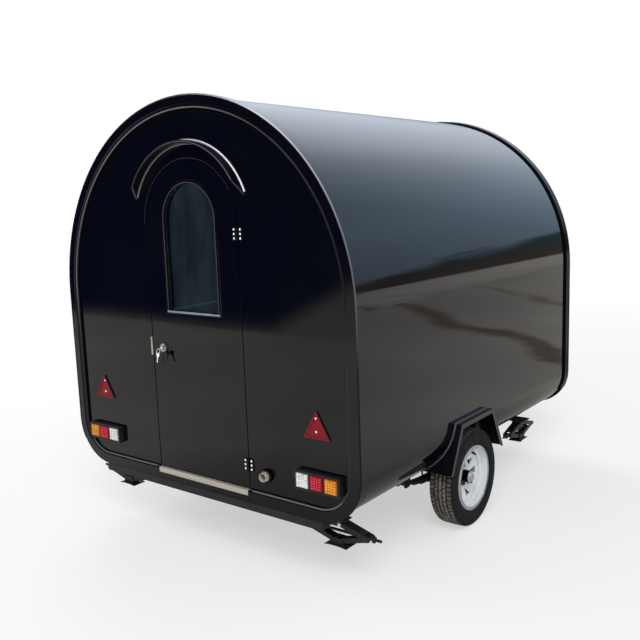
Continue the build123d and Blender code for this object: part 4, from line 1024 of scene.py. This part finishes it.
def dress_lock():
    softened("door_lock")
    bm = bmesh.new()
    in_lock = Matrix.Rotation(math.radians(90), 4, "X") @ Matrix.Rotation(math.radians(-90), 4, "Y")
    flat_shape(bm, KEY_BOW, KEY_BOW_THICKNESS, Matrix.Translation(by_lock(0, 0, 0)) @ in_lock)
    ring = [
        by_lock(*KEY_RING_PLACE) + Vector((x, KEY_RING_LEAN * z, z))
        for x, z in arc((0, 0), KEY_RING, 0, 342, 19)
    ]
    round_tube(bm, ring, KEY_WIRE, closed_path=True)
    hanging_key(bm, *DOOR_KEY)
    place_shape("lock_keys", bm, "door", "chrome", "screw_bright")
    bm = bmesh.new()
    hanging_key(bm, *SPARE_KEY)
    round_edges(bm, 0.001)
    place_shape("lock_spare_key", bm, "door", "hinge_black", "lamp_black")


def dress_strike():
    """Strike strip on the wall beside the lock."""
    edge_x = door_low.x - STRIKE_GAP
    bm = bmesh.new()
    block(bm, (edge_x - STRIKE_WIDTH, REAR_WALL_Y - STRIKE_PROUD, lock_z - STRIKE_HALF),
          (edge_x, REAR_WALL_Y + STRIKE_SUNK, lock_z + STRIKE_HALF))
    round_edges(bm, EDGE_WIDTH)
    place_shape("lock_strike", bm, "trailer", "aluminium", "sill_silver")


dress_lock()
dress_strike()

# Window edging and drain

WINDOW_LINE = 0.0022
# bright strip: past the glass at both ends, from the door's face, and from the glass's bottom
STRIP_PAST = 0.006
STRIP_OUT, STRIP_IN = 0.003, 0.004
STRIP_DOWN, STRIP_UP = 0.008, 0.002
drain_x = (drain_low.x + drain_high.x) / 2
drain_z = (drain_low.z + drain_high.z) / 2
DRAIN_RADIUS = 0.023
DRAIN_BORE = 0.018
DRAIN_NUT = 0.028
DRAIN_SIDES = 40
FLANGE_TOP = 0.008
BORE_FLOOR = 0.012
NUT_TOP = 0.018
CHAMFER = 0.002
DRAIN_THREADS = 4
THREAD_START = 0.019
THREAD_END = 0.009
THREAD_DEPTH = 0.0022


def dress_window():
    """A bright strip along the bottom of the window's rim, its blue-grey a painted reflection of the sky, and
    a fine line round the rest with a painted highlight.
    """
    bm = bmesh.new()
    block(bm, (glass_low.x - STRIP_PAST, door_low.y - STRIP_OUT, glass_low.z - STRIP_DOWN),
          (glass_high.x + STRIP_PAST, door_low.y + STRIP_IN, glass_low.z + STRIP_UP))
    round_edges(bm, 0.002)
    half = (glass_high.x - glass_low.x) / 2
    head = ((glass_high.x + glass_low.x) / 2, glass_high.z - half)
    rim = [(glass_high.x, glass_low.z), *arc(head, half, 0, 180, 40), (glass_low.x, glass_low.z)]
    round_tube(bm, [(x, door_low.y + 0.0005, z) for x, z in rim], WINDOW_LINE, material=1)
    place_shape("window_edging", bm, "door", "aluminium", "strip_sky_reflection", "rim_line")


def dress_drain():
    """Threaded pipe with a flange and a lock nut against the wall; profiles are (radius, reach)."""
    reach = REAR_WALL_Y - drain_low.y
    edge = (drain_high.x - drain_low.x) / 2
    place = axis_frame((drain_x, REAR_WALL_Y, drain_z), (0, -1, 0))
    flange = [(DRAIN_BORE, 0.0), (edge, 0.0), (edge, FLANGE_TOP - CHAMFER), (DRAIN_BORE, FLANGE_TOP)]
    bore = [(0, BORE_FLOOR), (DRAIN_BORE, BORE_FLOOR)]
    nut = [(DRAIN_BORE, FLANGE_TOP), (DRAIN_NUT, FLANGE_TOP),
           (DRAIN_NUT, NUT_TOP - CHAMFER), (DRAIN_BORE, NUT_TOP)]
    pipe = [(DRAIN_BORE, BORE_FLOOR)]
    pitch = (reach - THREAD_START - THREAD_END) / DRAIN_THREADS
    for turn in range(DRAIN_THREADS):
        for depth, share in ((THREAD_DEPTH, 0), (0, 0.3), (0, 0.55), (THREAD_DEPTH, 0.85)):
            pipe.append((DRAIN_RADIUS - depth, THREAD_START + (turn + share) * pitch))
    pipe += [(DRAIN_RADIUS - CHAMFER / 2, reach - 3 * CHAMFER), (DRAIN_RADIUS - CHAMFER, reach),
             (DRAIN_BORE + CHAMFER / 2, reach), (DRAIN_BORE, reach - CHAMFER)]
    bm = bmesh.new()
    turn_profile(bm, flange, place, DRAIN_SIDES, 1, True)
    turn_profile(bm, bore, place, DRAIN_SIDES, 1)
    turn_profile(bm, nut, place, 6, 2, True)
    turn_profile(bm, pipe, place, DRAIN_SIDES, closed=True)
    place_shape("drain_thread", bm, "trailer", node_slot["drain_outlet"], "sill_silver", "gasket", "brass",
                replaced=("drain_outlet",))


dress_window()
dress_drain()

# Studio: pale floor, soft light, cards that only show in the gloss, and the camera

SQUARE = ((-1, -1), (1, -1), (1, 1), (-1, 1))
FLOOR_HALF = 60
FLOOR_Z = -0.0005
FLOOR_NEAR = 2.6
FLOOR_FAR = 8.0
FLOOR_LIFT = 0.52
WORLD_LIGHT = 0.62
DOME_RADIUS = 55
YARD_HALF = 54
YARD_Z = 0.001
FLAG_Y = -7.0
FLAG_HEIGHT = 7.0
FLAG_LEFT = -30
FLAG_RIGHT = 3.2
CAMERA_PLACE = (2.8659, REAR_Y - 2.6579, 1.8132)
CAMERA_YAW = math.radians(37.782)
CAMERA_PITCH = math.radians(-8.896)
CAMERA_ROLL = math.radians(-2.001)
CAMERA_LENS = 43.953
SENSOR_WIDTH = 36.0
CAMERA_REACH = 300


def mix_shaders(tree, factor, first, second, output):
    """Blend two shaders by a factor, into an output."""
    blend = add_node(tree, "MixShader", Fac=factor)
    for socket, shader in zip(blend.inputs[1:], (first, second)):
        tree.links.new(shader, socket)
    feed(tree, tree.nodes[output], Surface=blend.outputs["Shader"])


def flat_sheet(corners):
    """Bmesh of one face."""
    bm = bmesh.new()
    bm.faces.new([bm.verts.new(corner) for corner in corners])
    return bm


def stage_sheet(name, bm, material, hidden=()):
    """Part of the stage that some kinds of rays don't see."""
    mesh = new_mesh(name, bm)
    mesh.materials.append(material)
    sheet = add_object(name, mesh)
    for way in hidden:
        setattr(sheet, f"visible_{way}", False)


def stage_card(name, bm, colours):
    """Glowing sheet that only shows in glossy reflections; colours gives its colour and strength."""
    material = bpy.data.materials.new(name)
    material.use_nodes = True
    tree = material.node_tree
    tree.nodes.remove(tree.nodes["Principled BSDF"])
    color, strength = colours(tree)
    glow = add_node(tree, "Emission", Color=color, Strength=strength)
    feed(tree, tree.nodes["Material Output"], Surface=glow.outputs["Emission"])
    stage_sheet(name, bm, material, ("camera", "diffuse", "transmission", "shadow", "volume_scatter"))


def studio_floor():
    """Pale floor that fades into plain white."""
    material, tree, shader = new_material("studio_floor", (0.90, 0.90, 0.90), 0.9, Specular_IOR_Level=0.0)
    x, y, _ = own_axes(tree)
    fade = spread(tree, hypotenuse(tree, x, y), FLOOR_LIFT, 1.0, FLOOR_NEAR, FLOOR_FAR)
    glow = add_node(tree, "Emission")
    mix_shaders(tree, fade, shader.outputs["BSDF"], glow.outputs["Emission"], "Material Output")
    sheet = flat_sheet((x * FLOOR_HALF, y * FLOOR_HALF, FLOOR_Z) for x, y in SQUARE)
    stage_sheet("floor_sheet", sheet, material)


def studio_world():
    """White surroundings that light the trailer less than they show."""
    world = bpy.data.worlds.new("studio")
    bpy.context.scene.world = world
    world.use_nodes = True
    tree = world.node_tree
    light = tree.nodes["Background"]
    feed(tree, light, Color=(1, 1, 1, 1), Strength=WORLD_LIGHT)
    white = add_node(tree, "Background", Color=(1, 1, 1, 1))
    path = add_node(tree, "LightPath")
    seen = path.outputs["Is Camera Ray"]
    for other in ("Is Glossy Ray", "Is Transmission Ray"):
        seen = sum_up(tree, "MAXIMUM", seen, path.outputs[other])
    mix_shaders(tree, seen, light.outputs["Background"], white.outputs["Background"], "World Output")


def soft_box(name, place, target, size, power):
    """Round lamp that lights a target and isn't seen in the gloss."""
    lamp = bpy.data.lights.new(name, "AREA")
    lamp.shape = "DISK"
    lamp.size = size
    lamp.energy = power
    obj = add_object(name, lamp)
    obj.location = place
    obj.rotation_euler = (Vector(target) - Vector(place)).to_track_quat("-Z", "Y").to_euler()
    obj.visible_glossy = False


def sky_colours(tree):
    """Overcast sky, brighter to the left and overhead, over a dark line of trees."""
    x, _, z = own_axes(tree, True)
    bright = spread(tree, x, 1.0, 0.0, -0.08, 0.36)
    beyond = spread(tree, x, 1.0, 0.0, -0.22, 0.06)
    haze = ramp(tree, z, (0.14, (0.12, 0.12, 0.12)), (0.33, (0.70, 0.70, 0.70)), (0.60, (1.2, 1.2, 1.2)))
    lower = spread(tree, z, 0.66, 1.0, 0.05, 0.36)
    fall = sum_up(tree, "MULTIPLY", sum_up(tree, "SUBTRACT", haze, lower), beyond)
    rise = sum_up(tree, "ADD", lower, fall)
    strength = sum_up(tree, "MULTIPLY", spread(tree, bright, 1.06, 1.72, 0.0, 1.0), rise)
    crowns = sum_up(tree, "SUBTRACT", noise(tree, 0.16, 5.0, (1, 1, 2.2)), 0.5)
    leaves = sum_up(tree, "MULTIPLY", crowns, 0.16)
    tops = sum_up(tree, "ADD", spread(tree, x, 0.135, 0.045, 0.40, 0.60), leaves)
    clear = spread(tree, sum_up(tree, "SUBTRACT", z, tops), 0.0, 1.0, -0.012, 0.016)
    sky = ramp(tree, bright, (0.0, (0.57, 0.77, 1.0)), (1.0, (0.78, 0.87, 1.0)))
    trees = ramp(tree, z, (0.04, (0.15, 0.125, 0.10)), (0.07, (0.095, 0.14, 0.15)))
    extra = sum_up(tree, "MULTIPLY", sum_up(tree, "SUBTRACT", strength, 1.0), clear)
    return mix_colors(tree, clear, trees, sky), sum_up(tree, "ADD", extra, 1.0)


def yard_colours(tree):
    """Grey-brown ground with wheel tracks, with a painted shadow of the trailer: darker close to the trailer.
    """
    x, y, _ = own_axes(tree)
    side = sum_up(tree, "DIVIDE", x, 1.55)
    along = sum_up(tree, "DIVIDE", sum_up(tree, "ADD", y, 0.54), 1.95)
    # painted shadow of the trailer on the ground, as this glowing card gets none
    near = spread(tree, hypotenuse(tree, side, along), 0.50, 1.0, 0.95, 1.55)
    patches = spread(tree, noise(tree, 0.5, 5.0), 0.90, 1.10)
    far = spread(tree, x, 1.0, 1.4, 6.0, 9.5)
    strength = sum_up(tree, "MULTIPLY", sum_up(tree, "MULTIPLY", near, patches), far)
    sway = sum_up(tree, "MULTIPLY", sum_up(tree, "SUBTRACT", noise(tree, 0.8, 6.0), 0.5), 1.3)
    slant = sum_up(tree, "ADD", sum_up(tree, "MULTIPLY", x, -0.6), sum_up(tree, "MULTIPLY", y, 0.79))
    across = sum_up(tree, "ADD", slant, sway)
    tracks = []
    for place, depth, inner, outer in ((1.68, 1.0, 0.12, 0.30), (3.9, 0.8, 0.05, 0.16)):
        off_track = sum_up(tree, "ABSOLUTE", sum_up(tree, "SUBTRACT", across, place))
        tracks.append(spread(tree, off_track, depth, 0.0, inner, outer))
    right = spread(tree, x, 0.0, 1.0, 1.3, 2.2)
    mud = sum_up(tree, "MULTIPLY", sum_up(tree, "MAXIMUM", *tracks), right)
    return ramp(tree, mud, (0.0, (0.62, 0.60, 0.56)), (1.0, (0.30, 0.245, 0.20))), strength


def flag_colours(tree):
    """Dark screen behind the trailer that fades out near the floor, sooner on its right."""
    x, _, z = own_axes(tree)
    height = sum_up(tree, "SUBTRACT", z, spread(tree, x, 0.0, 0.75, -4.1, -2.6))
    fade = spread(tree, height, 0.0, 1.0, -0.10, 0.24)
    color = ramp(tree, fade, (0.0, (0.46, 0.45, 0.42)), (0.35, (0.26, 0.26, 0.26)),
                 (0.7, (0.05, 0.055, 0.10)), (1.0, (0.006, 0.012, 0.07)))
    return color, spread(tree, z, 1.0, 0.7, 0.0, FLAG_HEIGHT)


def studio_cards():
    dome = bmesh.new()
    bmesh.ops.create_uvsphere(dome, u_segments=48, v_segments=24, radius=DOME_RADIUS)
    stage_card("sky_card", dome, sky_colours)
    yard = flat_sheet((x * YARD_HALF, y * YARD_HALF, YARD_Z) for x, y in SQUARE)
    stage_card("yard_card", yard, yard_colours)
    corners = ((FLAG_LEFT, 0), (FLAG_RIGHT, 0), (FLAG_RIGHT, FLAG_HEIGHT), (FLAG_LEFT, FLAG_HEIGHT))
    stage_card("rear_flag", flat_sheet((x, FLAG_Y, z) for x, z in corners), flag_colours)


def studio_camera():
    data = bpy.data.cameras.new("camera")
    data.lens = CAMERA_LENS
    data.sensor_width = SENSOR_WIDTH
    data.clip_end = CAMERA_REACH
    camera = add_object("camera", data)
    forward = Vector((
        -math.sin(CAMERA_YAW) * math.cos(CAMERA_PITCH), math.cos(CAMERA_YAW) * math.cos(CAMERA_PITCH),
        math.sin(CAMERA_PITCH),
    ))
    level = Vector((math.cos(CAMERA_YAW), math.sin(CAMERA_YAW), 0))
    upright = level.cross(forward)
    right = level * math.cos(CAMERA_ROLL) + upright * math.sin(CAMERA_ROLL)
    up = upright * math.cos(CAMERA_ROLL) - level * math.sin(CAMERA_ROLL)
    turn = Matrix((right, up, -forward)).transposed()
    camera.matrix_world = Matrix.Translation(CAMERA_PLACE) @ turn.to_4x4()
    bpy.context.scene.camera = camera


studio_floor()
studio_world()
soft_box("key_light", (4.5, -6.5, 6.5), (0, -0.5, 0.8), 5.0, 420)
soft_box("fill_light", (-6.0, 2.5, 6.0), (0, -0.3, 0.9), 5.0, 260)
studio_cards()
studio_camera()
bpy.context.scene.view_settings.view_transform = "Standard"
